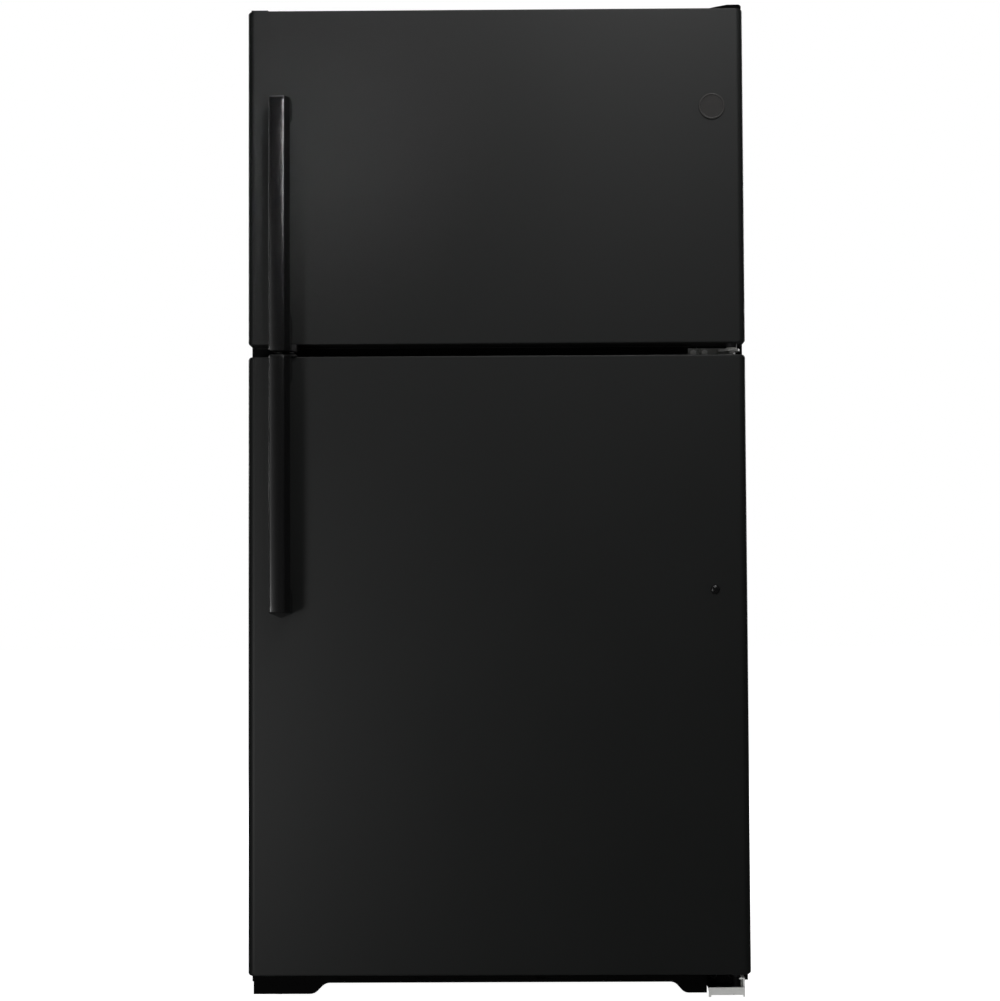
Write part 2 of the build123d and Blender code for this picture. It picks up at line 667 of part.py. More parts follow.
def crisper_cover_frame():
    """The frame over the crispers, with a deep front bar, slider slots and the middle rail."""
    half = FRESH_HALF - 1
    y = (COVER_FRONT, FRESH_BACK - 3)
    ring = block((-half, half), y, (STEP_TOP, COVER_TOP))
    window = block((-half + 12, half - 12), (y[0] + 16, y[1] - 12), (STEP_TOP - 1, COVER_TOP + 1))
    rebate = block((-half + 6, half - 6), (y[0] + 8, y[1] - 6), (COVER_TOP - GLASS, COVER_TOP + 1))
    frame = ring - window - rebate
    frame += block((-3.0, 3.0), (y[0] + 16, STEP_FRONT - 2), (299.0, COVER_TOP - GLASS))
    frame += block((-12.0, 12.0), (y[0] + 16, STEP_FRONT - 2), (299.0, CRISPER_RAIL_TOP))
    frame += block((-3.0, 3.0), (STEP_FRONT - 2, y[1] - 12), (STEP_TOP, COVER_TOP - GLASS))
    for side in (-1, 1):
        reach = SLIDER_TRAVEL + 9
        x = (side * SLIDER_X - reach, side * SLIDER_X + reach)
        frame -= block(x, (y[0] - 1, y[0] + 9), (328.0, 334.0))
    return frame


def crisper_cover_pane():
    """The glass over the crispers."""
    half = FRESH_HALF - 1 - 6.2
    y = (COVER_FRONT + 8.2, FRESH_BACK - 3 - 6.2)
    return block((-half, half), y, (COVER_TOP - GLASS, COVER_TOP))


def humidity_slider(side):
    """A thumb piece in the crisper cover's front slot."""
    x = side * SLIDER_X - SLIDER_TRAVEL
    tongue = block((x - 8, x + 8), (COVER_FRONT - 1, COVER_FRONT + 8), (328.3, 333.7))
    thumb = block((x - 11, x + 11), (COVER_FRONT - 6, COVER_FRONT - 0.4), (323.0, 339.0))
    return tongue + thumb


def crisper(side):
    """A clear drawer that hangs by its flanges on the liner's rail and the middle rail."""
    wall = 2.5
    top = CRISPER_RAIL_TOP + 3.3
    front = CRISPER_FRONT + 4
    inner = side * 15.0
    outer = side * 345.0
    body = block(sorted((inner, outer)), (front, CRISPER_BACK), (CRISPER_BOTTOM, top))
    body = fillet(body.edges().filter_by(Axis.Y).group_by(Axis.Z)[0], 14.0)
    hollow = block(
        sorted((inner + side * wall, outer - side * wall)),
        (front + wall, CRISPER_BACK - wall),
        (CRISPER_BOTTOM + wall, top + 1),
    )
    hollow = fillet(hollow.edges().filter_by(Axis.Y).group_by(Axis.Z)[0], 11.5)
    drawer = body - hollow
    for near, far in ((side * 4.5, inner), (outer, side * CRISPER_FLANGE_X)):
        drawer += block(sorted((near, far)), (CRISPER_FRONT + 20, CRISPER_BACK), (top - 3, top))
    face_x = sorted((side * 3.0, side * (CRISPER_FLANGE_X - 1)))
    face = block(face_x, (CRISPER_FRONT, front), (CRISPER_BOTTOM, 296.0))
    face = fillet(face.edges().filter_by(Axis.Y), 8.0)
    centre = side * 180.0
    pull = block((centre - 75, centre + 75), (CRISPER_FRONT - 7, CRISPER_FRONT), (276.0, 286.0))
    return drawer + face + pull


def freezer_shelf():
    """A welded wire shelf on the freezer liner's ledges."""
    y = (-165.0, 285.0)
    z = FREEZER_SHELF_Z
    rails = [rod((-348.0, at, z), (348.0, at, z), 3.0) for at in (y[0], 60.0, y[1])]
    wires = [rod((x, y[0], z + 3), (x, y[1], z + 3), 1.6) for x in range(-336, 337, 28)]
    return rails[0] + rails[1:] + wires


# ---------------------------------------------------------------- doors


def door_outline(z, inset):
    """A door's body between two heights, with its rounded front upright edges."""
    half = DOOR_HALF - inset
    solid = block((-half, half), (DOOR_FRONT + inset, DOOR_BACK), z)
    front = solid.edges().filter_by(Axis.Z).group_by(Axis.Y)[0]
    return fillet(front, DOOR_EDGE_RADIUS - inset)


def door_corners(z, inset):
    """The space within a door's front outline, whose four corners are rounded."""
    half = DOOR_HALF - inset
    whole = block((-half, half), (DOOR_FRONT - 1, DOOR_BACK + 1), (z[0] + inset, z[1] - inset))
    return fillet(whole.edges().filter_by(Axis.Y), DOOR_CORNER_RADIUS - inset)


def door_skin(z):
    """The steel wrap: front, rounded edges, sides and narrow returns at the back."""
    outer = door_outline(z, 0.0)
    long_z = (z[0] - 1, z[1] + 1)
    hollow = door_outline(long_z, SHEET) - block(
        (-DOOR_HALF, DOOR_HALF), (DOOR_BACK - SHEET, DOOR_BACK), long_z
    )
    half = DOOR_HALF - DOOR_RETURN
    wrap = outer - hollow - block((-half, half), (DOOR_BACK - SHEET, DOOR_BACK), long_z)
    return wrap & door_corners(z, 0.0)


def door_inside(z):
    """The space within a door skin between two heights."""
    back = block((-DOOR_HALF, DOOR_HALF), (DOOR_BACK - SHEET, DOOR_BACK), z)
    return door_outline(z, SHEET) - back


def door_cap(door_z, z, boss_z, bore_z, collar_z):
    """A door's end cap with the moulded boss, bore and thrust collar for the hinge pin."""
    cap = door_inside(z) & door_corners(door_z, SHEET)
    cap += hinge_pin(boss_z[0], boss_z[1], BOSS_RADIUS)
    if collar_z:
        cap += hinge_pin(collar_z[0], collar_z[1], BOSS_RADIUS)
    return cap - hinge_pin(bore_z[0], bore_z[1], PIN_RADIUS + PIN_FIT)


def pocket_ring(rim, inset):
    """The raised rim round the bins on a door's inside, moved in by an inset."""
    low, high = rim["z"]
    half = rim["half"]
    depth = rim["depth"]
    width = rim["width"]
    outer = block((-half + inset, half - inset), (DOOR_BACK, depth - inset), (low + inset, high - inset))
    reach = half - width + inset
    inner = block((-reach, reach), (DOOR_BACK - 1, depth + 1), (low + width - inset, high - width + inset))
    return outer - inner


def door_foam(z, rim, bosses):
    """The door's foam, which also fills the rim and leaves room for the caps' bosses."""
    half = DOOR_HALF - DOOR_RETURN
    foam = door_inside((z[0] + CAP_DEPTH, z[1] - CAP_DEPTH))
    foam += block((-half, half), (DOOR_BACK - SHEET, DOOR_BACK), (z[0] + CAP_DEPTH, z[1] - CAP_DEPTH))
    foam += pocket_ring(rim, LINER)
    return foam - [hinge_pin(low, high, BOSS_RADIUS) for low, high in bosses]


def door_liner(z, rim, bins):
    """The door's inner panel: a plate, the raised rim and a lug for each end of each bin."""
    plate = block((-DOOR_HALF + 5, DOOR_HALF - 5), (DOOR_BACK, DOOR_BACK + LINER), (z[0] + 4, z[1] - 4))
    liner = plate + pocket_ring(rim, 0.0) - pocket_ring(rim, LINER)
    inner = rim["half"] - rim["width"]
    for low, height in bins:
        lug_top = low + height - 12
        lug = block((inner - 3.6, inner), (GASKET_FRONT, rim["depth"] - 6), (lug_top - 8, lug_top))
        liner += mirrored(lug)
    return liner


def door_gasket(z):
    """The magnetic seal round a door's inside, with a shallow groove in its face."""

    def frame(inset, y):
        half = GASKET_HALF - inset
        return block((-half, half), y, (z[0] + inset, z[1] - inset))

    ring = frame(0, (GASKET_FRONT, GASKET_BACK)) - frame(GASKET_WIDTH, (GASKET_FRONT - 1, GASKET_BACK + 1))
    face = (GASKET_BACK - 1.5, GASKET_BACK + 1)
    return ring - (frame(8.5, face) - frame(11.5, face))


def door_bin(rim, low, height, depth):
    """An open door bin that hangs on the lugs of the rim."""
    wall = 2.5
    half = rim["half"] - rim["width"] - 4.0
    y = (GASKET_FRONT, depth)
    body = block((-half, half), y, (low, low + height))
    body = fillet(body.edges().filter_by(Axis.Z).group_by(Axis.Y)[-1], 20.0)
    hollow = block((-half + wall, half - wall), (y[0] + wall, y[1] - wall), (low + wall, low + height + 1))
    hollow = fillet(hollow.edges().filter_by(Axis.Z).group_by(Axis.Y)[-1], 17.5)
    ear_z = (low + height - 12, low + height - 8)
    ears = mirrored(block((half, half + 3.6), (y[0], rim["depth"] - 8), ear_z))
    return (body - hollow) + ears


FRESH_RIM = {"half": 348.0, "z": (124.0, 1009.0), "depth": -238.0, "width": 22.0}
FREEZER_RIM = {"half": 334.0, "z": (1141.0, 1569.0), "depth": -252.0, "width": 22.0}
FRESH_BINS = [(160.0, 120.0), (480.0, 100.0), (760.0, 100.0)]
FREEZER_BINS = [(1173.0, 90.0), (1378.0, 90.0)]
FRESH_BIN_DEPTH = -192.0
FREEZER_BIN_DEPTH = -216.0


# ---------------------------------------------------------------- handles


def handle(ends):
    """A bar handle; its foot and tab wrap the door's edge beside the gap between the doors."""
    sense = 1 if ends["far"] > ends["end"] else -1
    far = ends["far"]
    nose = far - sense * HANDLE_NOSE
    middle = (ends["end"] + nose) / 2
    end_front = HANDLE_FRONT + HANDLE_BOW
    grip_back = DOOR_FRONT - HANDLE_GRIP_SPACE
    run = HANDLE_FOOT + HANDLE_FOOT_RUN

    def at(y, z):
        return (HANDLE_LEFT, y, z)

    front = ThreePointArc(at(end_front, ends["end"]), at(HANDLE_FRONT, middle), at(end_front, nose))
    rest = Polyline(
        at(end_front, nose),
        at(DOOR_FRONT, far),
        at(DOOR_FRONT, far - sense * HANDLE_FOOT),
        at(grip_back, far - sense * run),
        at(grip_back, ends["door"] + sense * run),
        at(DOOR_FRONT, ends["door"] + sense * HANDLE_FOOT),
        at(DOOR_FRONT, ends["tab"]),
        at(end_front, ends["end"]),
    )
    bar = extrude(make_face([front, rest]), HANDLE_RIGHT - HANDLE_LEFT, dir=(1, 0, 0))
    low, high = sorted((ends["end"] - sense, far + sense))
    facet = Polyline(
        (HANDLE_RIGHT - HANDLE_FACET, HANDLE_FRONT - 6, low),
        (HANDLE_RIGHT - HANDLE_FACET, HANDLE_FRONT + 2, low),
        (HANDLE_RIGHT, HANDLE_FRONT + 2 + HANDLE_FACET_DEPTH, low),
        (HANDLE_RIGHT + 5, HANDLE_FRONT - 6, low),
        close=True,
    )
    bar -= extrude(make_face(facet), high - low, dir=(0, 0, 1))
    tab_z = sorted((ends["tab"], ends["door"]))
    return bar + block((HANDLE_LEFT, HANDLE_TAB_RIGHT), (DOOR_FRONT - 10, HANDLE_TAB_BACK), tab_z)


def handle_screws(ends, slack):
    """The two flat-head screws through the tab into the door's cap, or their holes."""
    sense = 1 if ends["far"] > ends["end"] else -1
    length = abs(ends["door"] - ends["tab"]) + SCREW_LENGTH
    return [
        flat_screw((x, HANDLE_SCREW_Y, ends["tab"]), (0, 0, sense), length, slack) for x in HANDLE_SCREW_X
    ]


def handle_stud(ends, slack):
    """The shouldered stud in the far foot, or its hole."""
    sense = 1 if ends["far"] > ends["end"] else -1
    z = ends["far"] - sense * HANDLE_STUD_SETBACK
    x = (HANDLE_LEFT + HANDLE_RIGHT) / 2 - 2
    reach = slack * 5
    stud = rod((x, DOOR_FRONT - 24 - reach, z), (x, DOOR_FRONT + 14 + reach, z), HANDLE_STUD_RADIUS + slack)
    shoulder = rod((x, DOOR_FRONT - 5 - slack, z), (x, DOOR_FRONT, z), HANDLE_SHOULDER_RADIUS + slack)
    return stud + shoulder


def handle_fasteners(ends, slack=0.0):
    """All of one handle's fasteners, or with a slack the holes that they need."""
    return handle_screws(ends, slack) + [handle_stud(ends, slack)]


# ---------------------------------------------------------------- trim

BADGE_X = 362.2
BADGE_Z = 1486.0
PLUG_X = 360.8
PLUG_Z = 677.6


def badge():
    """A plain round disc with a raised ring."""
    disc = rod((BADGE_X, DOOR_FRONT, BADGE_Z), (BADGE_X, DOOR_FRONT - 2.0, BADGE_Z), 22.0)
    ring = rod((BADGE_X, DOOR_FRONT - 2.0, BADGE_Z), (BADGE_X, DOOR_FRONT - 3.2, BADGE_Z), 22.0)
    ring -= rod((BADGE_X, DOOR_FRONT - 1.0, BADGE_Z), (BADGE_X, DOOR_FRONT - 4.0, BADGE_Z), 19.0)
    return disc + ring


def plug_button():
    """A domed plug over the unused handle hole."""
    head = rod((PLUG_X, DOOR_FRONT, PLUG_Z), (PLUG_X, DOOR_FRONT - 4.0, PLUG_Z), 7.5)
    head = fillet(head.edges().filter_by(GeomType.CIRCLE).sort_by(Axis.Y)[0], 2.5)
    stem = rod((PLUG_X, DOOR_FRONT - 1, PLUG_Z), (PLUG_X, DOOR_FRONT + 9.0, PLUG_Z), 4.0)
    return head + stem


def stem_hole():
    return rod((PLUG_X, DOOR_FRONT - 1, PLUG_Z), (PLUG_X, DOOR_FRONT + 9.2, PLUG_Z), 4.1)


# ---------------------------------------------------------------- assembly


def add(name, *shapes):
    """Put one node's solids on the list."""
    solids = []
    for shape in shapes:
        solids += shape.solids()
    nodes[name] = solids


def add_cabinet():
    holes = [hex_screw_hole(seat, axis) for seat, axis in SCREWS]
    add("cabinet_shell", cabinet_shell() - holes)
    outline = rounded_case((CASE_BACK - SHEET, CASE_BACK), 0.0)
    upper = block((-CASE_HALF, CASE_HALF), (CASE_BACK - 2, CASE_BACK + 1), (MACHINE_TOP - SHEET, CASE_TOP))
    add("rear_panel", outline & upper)
    add("floor_panel", floor_panel() - holes)
    add("base_pan", base_pan() - holes)
    add("cabinet_foam", cabinet_foam() - holes)
    add("fresh_food_liner", fresh_food_liner())
    add("freezer_liner", freezer_liner())
    add("center_rail", center_rail() - holes)
    add("toe_grille", toe_grille())
    add("top_hinge", top_hinge())
    add("top_hinge_cover", top_hinge_cover())
    add("center_hinge", center_hinge())
    add("bottom_hinge", bottom_hinge())
    add("cabinet_screws", *[hex_screw(seat, axis) for seat, axis in SCREWS])
    add("rear_access_cover", rear_access_cover() - holes)
    add("cord_gland", cord_gland())
    add("roller_axles", roller_axle(-1), roller_axle(1))
    add("hinge_thrust_washers", thrust_washer(CENTER_ARM[1]), thrust_washer(BOTTOM_BOSS_TOP))
    for side, name in ((-1, "left"), (1, "right")):
        add(f"{name}_leg", levelling_leg(side))
        add(f"{name}_roller", roller(side))


def add_cooling():
    add("compressor", compressor())
    add("condenser_coil", condenser_coil())
    add("condenser_fan_motor", condenser_fan_motor())
    add("condenser_fan_blade", fan_blade((-58.0, FAN_Y, FAN_Z), (1, 0, 0), 66.0, 14.0, 20.0))
    add("evaporator_coil", evaporator_coil())
    add("evaporator_cover", evaporator_cover())
    add("evaporator_fan_motor", evaporator_fan_motor())
    add("evaporator_fan_blade", fan_blade((0, 310.0, EVAPORATOR_FAN_Z), (0, 1, 0), 48.0, 12.0, 16.0))


def add_fittings():
    add("control_housing", control_housing())
    add("temperature_dial", temperature_dial())
    add("light_lens", light_lens())
    add("switch_plunger", switch_plunger())
    add("shelf_frames", *[shelf_frame(height) for height in SHELF_HEIGHTS])
    add("glass_panels", *[shelf_pane(height) for height in SHELF_HEIGHTS], crisper_cover_pane())
    add("crisper_cover_frame", crisper_cover_frame())
    add("freezer_shelf", freezer_shelf())
    for side, name in ((-1, "left"), (1, "right")):
        add(f"{name}_crisper", crisper(side))
        add(f"{name}_humidity_slider", humidity_slider(side))


def blanking_pad(z):
    """The raised pad on a cap that closes the unused hinge bore."""
    return block((-409.0, -381.0), (-371.0, -332.0), (z - CAP_RECESS - 1, z + 1.5))


def add_freezer_door():
    z = (FREEZER_DOOR_BOTTOM, FREEZER_DOOR_TOP)
    holes = handle_fasteners(FREEZER_HANDLE, FASTENER_FIT)
    ends = (z[0] + CAP_RECESS, z[1] - CAP_RECESS)
    bosses = [(ends[0], z[0] + 20), (z[1] - 30, ends[1])]
    collar = (CENTER_ARM[1] + WASHER_THICKNESS + THRUST_GAP, z[0] + 3)
    pin_top = CENTER_ARM[1] + 20
    low = door_cap(z, (ends[0], z[0] + CAP_DEPTH), bosses[0], (collar[0] - 1, pin_top + 3), collar)
    high = door_cap(z, (z[1] - CAP_DEPTH, ends[1]), bosses[1], (CASE_TOP - 26, CASE_TOP), None)
    add("freezer_door_skin", door_skin(z) - holes)
    add("freezer_door_caps", low - holes, high + blanking_pad(z[1]))
    add("freezer_door_foam", door_foam(z, FREEZER_RIM, bosses) - holes)
    add("freezer_door_liner", door_liner(z, FREEZER_RIM, FREEZER_BINS))
    add("freezer_door_gasket", door_gasket((z[0] + 10, z[1] - 21)))
    bins = [door_bin(FREEZER_RIM, at, height, FREEZER_BIN_DEPTH) for at, height in FREEZER_BINS]
    add("freezer_door_bins", *bins)
    add("freezer_handle", handle(FREEZER_HANDLE) - holes)
    add("freezer_handle_fasteners", *handle_fasteners(FREEZER_HANDLE))
    add("badge", badge())


def add_fresh_door():
    z = (FRESH_DOOR_BOTTOM, FRESH_DOOR_TOP)
    holes = handle_fasteners(FRESH_HANDLE, FASTENER_FIT) + [stem_hole()]
    ends = (z[0] + CAP_RECESS, z[1] - CAP_RECESS)
    bosses = [(ends[0], z[0] + 30), (z[1] - 24, ends[1])]
    collar = (BOTTOM_BOSS_TOP + WASHER_THICKNESS + THRUST_GAP, z[0] + 3)
    low = door_cap(z, (ends[0], z[0] + CAP_DEPTH), bosses[0], (collar[0] - 1, z[0] + 22), collar)
    high = door_cap(z, (z[1] - CAP_DEPTH, ends[1]), bosses[1], (z[1] - 16, z[1] + 1), None)
    add("fresh_food_door_skin", door_skin(z) - holes)
    add("fresh_food_door_caps", low, high - holes)
    add("fresh_food_door_foam", door_foam(z, FRESH_RIM, bosses) - holes)
    add("fresh_food_door_liner", door_liner(z, FRESH_RIM, FRESH_BINS))
    add("fresh_food_door_gasket", door_gasket((z[0] + 26, z[1] - 10)))
    bins = [door_bin(FRESH_RIM, at, height, FRESH_BIN_DEPTH) for at, height in FRESH_BINS]
    add("fresh_food_door_bins", *bins)
    add("fresh_food_handle", handle(FRESH_HANDLE) - holes)
    add("fresh_food_handle_fasteners", *handle_fasteners(FRESH_HANDLE))
    add("plug_button", plug_button())


add_cabinet()
add_cooling()
add_fittings()
add_freezer_door()
add_fresh_door()
for name, solids in nodes.items():
    export_step(solids[0] if len(solids) == 1 else Compound(children=solids), f"parts/{name}.step")
print(len(nodes), "nodes")
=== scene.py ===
import math

import bmesh
import bpy
from mathutils import Matrix, Vector


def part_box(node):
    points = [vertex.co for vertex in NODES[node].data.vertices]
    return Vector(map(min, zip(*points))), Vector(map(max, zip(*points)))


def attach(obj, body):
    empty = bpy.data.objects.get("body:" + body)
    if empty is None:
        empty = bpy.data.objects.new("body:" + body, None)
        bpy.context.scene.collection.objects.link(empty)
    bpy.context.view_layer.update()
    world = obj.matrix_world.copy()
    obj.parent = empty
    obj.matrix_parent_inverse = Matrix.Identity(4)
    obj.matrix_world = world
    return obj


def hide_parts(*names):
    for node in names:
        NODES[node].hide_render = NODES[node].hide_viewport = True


bl_info = {
    "name": "Top Freezer Refrigerator",
    "version": (1, 0, 0),
    "blender": (4, 5, 0),
    "location": "View3D > Sidebar > Refrigerator",
    "description": "Builds the finishes and fine pieces of a two-door refrigerator",
    "category": "Object",
}

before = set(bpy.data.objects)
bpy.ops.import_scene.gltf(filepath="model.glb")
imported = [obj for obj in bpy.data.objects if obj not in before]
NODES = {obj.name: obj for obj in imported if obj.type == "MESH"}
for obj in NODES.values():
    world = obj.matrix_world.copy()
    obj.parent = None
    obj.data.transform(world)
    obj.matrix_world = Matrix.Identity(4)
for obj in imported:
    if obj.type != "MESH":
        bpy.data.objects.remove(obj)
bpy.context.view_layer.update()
MM = 0.001
WELD_REACH = 0.01 * MM

# Doors: radii of the upright edges, the hem turned in at each end and its flat rim.
DOOR_EDGE = 12 * MM
DOOR_REAR_EDGE = 1.2 * MM
DOOR_HEM = 1.6 * MM
DOOR_RIM = 0.8 * MM

# Handles: the slanted facet, the bow of the face, the open grip, the feet, and the nose
# that slopes back to the door at the far end.
HANDLE_WIDTH = 33 * MM
HANDLE_FACET = 8 * MM
HANDLE_FACET_DEPTH = 14 * MM
HANDLE_BOW = 4 * MM
HANDLE_GRIP = 38 * MM
HANDLE_FOOT = 36 * MM
HANDLE_RUN = 16 * MM
HANDLE_NOSE = 8 * MM
HANDLE_NOSE_SOFT = 0.6 * MM
HANDLE_NOSE_SOFT_RUN = 3 * MM
HANDLE_NOSE_TAPER = 0.94
HANDLE_TIP_SHIFT = 3 * MM
HANDLE_DOOR_GAP = 0.4 * MM
HANDLE_NOSE_STATIONS = [step * MM for step in (-12, -3, -1.2, 0, 0.6, 1.6, 4, 6.4)]

# The tab at the door gap: its two corner radii, its depth behind the door's face, the
# rounding of its rims and how far its faces stand back from the screw heads.
TAB_FRONT_RADIUS = 2 * MM
TAB_REAR_RADIUS = 7 * MM
TAB_DEPTH = 8 * MM
TAB_RIM = 0.9 * MM
TAB_FACE = 0.15 * MM

# Half of the plug's stem, and the height of its head, rim and dome.
PLUG_STEM = 3.9 * MM
PLUG_HEAD = 4 * MM
PLUG_RIM = 0.8 * MM
PLUG_DOME = 3.2 * MM

# Door seal: points of (across, share of the depth) round the magnet bulb and its bellows.
SEAL_SECTION = [
    (0.0, 0.0), (0.004, 0.0), (0.0045, 0.30), (0.0015, 0.42), (0.0012, 0.52), (0.0045, 0.62),
    (0.0025, 0.78), (0.004, 0.95), (0.008, 1.0), (0.0125, 1.0), (0.0165, 0.93), (0.0185, 0.8),
    (0.0160, 0.64), (0.0190, 0.55), (0.0190, 0.42), (0.0155, 0.3), (0.0160, 0.0), (0.02, 0.0),
]

# Badge: points of (share of the radius, share of the rise) from the rim to the middle.
BADGE_PROFILE = [
    (0.999, 0.0), (1.0, 0.35), (0.985, 0.8), (0.95, 1.0), (0.9, 1.0),
    (0.87, 0.85), (0.845, 0.5), (0.6, 0.46), (0.3, 0.52),
]
BADGE_FACE = 0.86

# Where the second finishes begin: the front frame's dark, dull paint, partly real paint and
# partly painted shade in the door gaps, and the painted shade on the lower hinge's rear plate
# and on the base's screws and washers under the doors.
FRONT_FRAME_SHADE_Y = -0.29
HINGE_SHADE_Y = -0.351
HINGE_SHADE_X = 0.3995
BASE_SCREWS_SHADE_Z = 0.045
BASE_WASHER_SHADE_Z = 0.1

# Lights: name, place, target, size, power and the spread of the beam in degrees.
SOFTBOXES = [
    ("key", (0.45, -3.0, 2.2), (-0.2, -0.37, 1.3), (0.3, 0.3), 3.9, 180.0),
    ("handle_key", (0.75, -4.3, 2.5), (-0.4, -0.37, 1.42), (0.25, 0.25), 0.16, 9.0),
    ("left_bank", (-1.1, -2.1, 0.9), (-0.2, -0.37, 0.8), (0.4, 1.4), 2.1, 180.0),
    ("low_left", (-1.4, -2.4, 0.2), (-0.2, -0.37, 0.4), (0.5, 0.5), 7.9, 180.0),
    ("top_bank", (0.0, -1.6, 2.7), (0.0, -0.37, 1.3), (2.0, 0.5), 8.7, 180.0),
    ("top_right", (0.55, -1.6, 2.7), (0.25, -0.37, 1.3), (0.9, 0.5), 10.1, 180.0),
    ("right_strip", (2.0, -1.2, 2.2), (0.3, -0.37, 1.5), (0.3, 0.8), 1.0, 180.0),
    ("left_side", (-2.8, 3.6, 2.2), (-0.4, 0.1, 0.9), (1.5, 2.5), 90.0, 180.0),
    ("right_side", (2.8, 3.6, 2.2), (0.4, 0.1, 0.9), (1.5, 2.5), 90.0, 180.0),
]
SURROUND_GLOW = 0.013
FLOOR_REACH = 40.0
CAMERA_LENS = 87.24
CAMERA_SENSOR = 36.0
CAMERA_PLACE = (0.0424, -4.4, 0.6398)
CAMERA_TURN = (92.664, 0.278, 0.55)


# ---------------------------------------------------------------- shader maths


class Field:
    """One output of a shader node, used in sums like a number."""

    def __init__(self, finish, socket):
        self.finish = finish
        self.socket = socket

    def _math(self, operation, left, right):
        return self.finish.node("ShaderNodeMath", {"operation": operation}, {0: left, 1: right})

    def __add__(self, other):
        return self._math("ADD", self, other)

    def __radd__(self, other):
        return self._math("ADD", other, self)

    def __sub__(self, other):
        return self._math("SUBTRACT", self, other)

    def __rsub__(self, other):
        return self._math("SUBTRACT", other, self)

    def __mul__(self, other):
        return self._math("MULTIPLY", self, other)

    def __rmul__(self, other):
        return self._math("MULTIPLY", other, self)


class Finish:
    """One procedural material: a Principled shader and the fields that feed it."""

    def __init__(self, name, **constants):
        self.material = bpy.data.materials.new(name)
        self.material.use_nodes = True
        self.tree = self.material.node_tree
        self.shader = self.tree.nodes["Principled BSDF"]
        self.set(**constants)

    def plug(self, socket, value):
        if isinstance(value, Field):
            self.tree.links.new(value.socket, socket)
        else:
            socket.default_value = value

    def node(self, kind, settings=None, inputs=None, output=0):
        """Add a node: its settings first, then the values or links of its sockets."""
        made = self.tree.nodes.new(kind)
        for key, value in (settings or {}).items():
            setattr(made, key, value)
        for key, value in (inputs or {}).items():
            self.plug(made.inputs[key], value)
        return Field(self, made.outputs[output])

    def set(self, **values):
        """Give the shader's sockets values or fields; an underscore stands for a space."""
        for key, value in values.items():
            self.plug(self.shader.inputs[key.replace("_", " ")], value)

    def place(self):
        """Object coordinates, which stay with a piece when it moves."""
        return self.node("ShaderNodeTexCoord", output=3)

    def noise(self, scale, detail=2.0, stretch=None):
        where = self.place()
        if stretch:
            where = self.node("ShaderNodeMapping", inputs={"Vector": where, "Scale": stretch})
        sockets = {"Vector": where, "Scale": scale, "Detail": detail}
        return self.node("ShaderNodeTexNoise", inputs=sockets)

    def cells(self, scale, feature="F1", output=0):
        """Small cells: their distance field, or with output 1 a random colour for each."""
        sockets = {"Vector": self.place(), "Scale": scale}
        return self.node("ShaderNodeTexVoronoi", {"feature": feature}, sockets, output)

    def blend(self, share, first, second):
        """A colour between two, by a field from 0 to 1."""
        sockets = {"Factor": share, 6: first, 7: second}
        return self.node("ShaderNodeMix", {"data_type": "RGBA"}, sockets, output=2)

    def bump(self, height, distance, strength):
        sockets = {"Height": height, "Distance": distance, "Strength": strength}
        self.set(Normal=self.node("ShaderNodeBump", inputs=sockets))

    def edge(self, reach):
        """A field that is 1 on sharp edges and fades to 0 on flat faces."""
        bevel = self.node("ShaderNodeBevel", {"samples": 4}, {"Radius": reach})
        face = self.node("ShaderNodeNewGeometry", output=1)
        product = {"operation": "DOT_PRODUCT"}
        return 1.0 - self.node("ShaderNodeVectorMath", product, {0: bevel, 1: face}, output=1)


def rgb(red, green, blue):
    return (red, green, blue, 1.0)


def shade_of(tone, share):
    """A colour made darker or lighter by a share."""
    return rgb(*[channel * share for channel in tone])


def grey(tone, blue=1.0):
    """A grey, its blue raised by a share."""
    return rgb(tone, tone, tone * blue)


# ---------------------------------------------------------------- finishes


def door_paint(sizes):
    """Smooth baked enamel with a faint orange peel."""
    finish = Finish("door_enamel", Specular_IOR_Level=0.5)
    broad = finish.noise(7.0, 3.0)
    peel = finish.noise(420.0, 1.0)
    tone = tuple(sizes.door_colour)
    finish.set(Base_Color=finish.blend(broad, shade_of(tone, 0.93), shade_of(tone, 1.07)))
    finish.set(Roughness=sizes.door_roughness - 0.02 + broad * 0.04)
    finish.bump(peel, 0.00004, 0.35)
    return finish.material


def case_paint(sizes):
    """Pebbled enamel of the cabinet's sides and top."""
    finish = Finish("case_enamel", Specular_IOR_Level=0.35)
    pebble = finish.cells(520.0, "SMOOTH_F1")
    fine = finish.noise(1500.0, 2.0)
    tone = tuple(sizes.case_colour)
    finish.set(Base_Color=finish.blend(fine, shade_of(tone, 0.8), shade_of(tone, 1.2)))
    finish.set(Roughness=0.42 + fine * 0.12)
    finish.bump(pebble + fine * 0.3, 0.0006, 0.5)
    return finish.material


def glossy_black(sizes):
    """Polished black plastic of the handles."""
    finish = Finish("handle_plastic", Specular_IOR_Level=0.5)
    flow = finish.noise(28.0, 2.0, (1.0, 1.0, 0.15))
    fine = finish.noise(900.0, 2.0)
    dark, light = rgb(0.0025, 0.0025, 0.0026), rgb(0.004, 0.004, 0.0041)
    finish.set(Base_Color=finish.blend(flow, dark, light))
    finish.set(Roughness=sizes.handle_roughness + fine * 0.05)
    finish.bump(flow + fine * 0.05, 0.0001, 0.12)
    return finish.material


def moulded_black(name, tone, gloss=0.42):
    """Grained black plastic of caps, covers, fans and the grille."""
    finish = Finish(name, Specular_IOR_Level=gloss)
    spark = finish.cells(1400.0)
    broad = finish.noise(30.0, 2.0)
    dark = rgb(tone * 0.8, tone * 0.8, tone * 0.83)
    finish.set(Base_Color=finish.blend(broad, dark, grey(tone)))
    finish.set(Roughness=0.5 + spark * 0.2)
    finish.bump(spark, 0.0002, 0.35)
    return finish.material


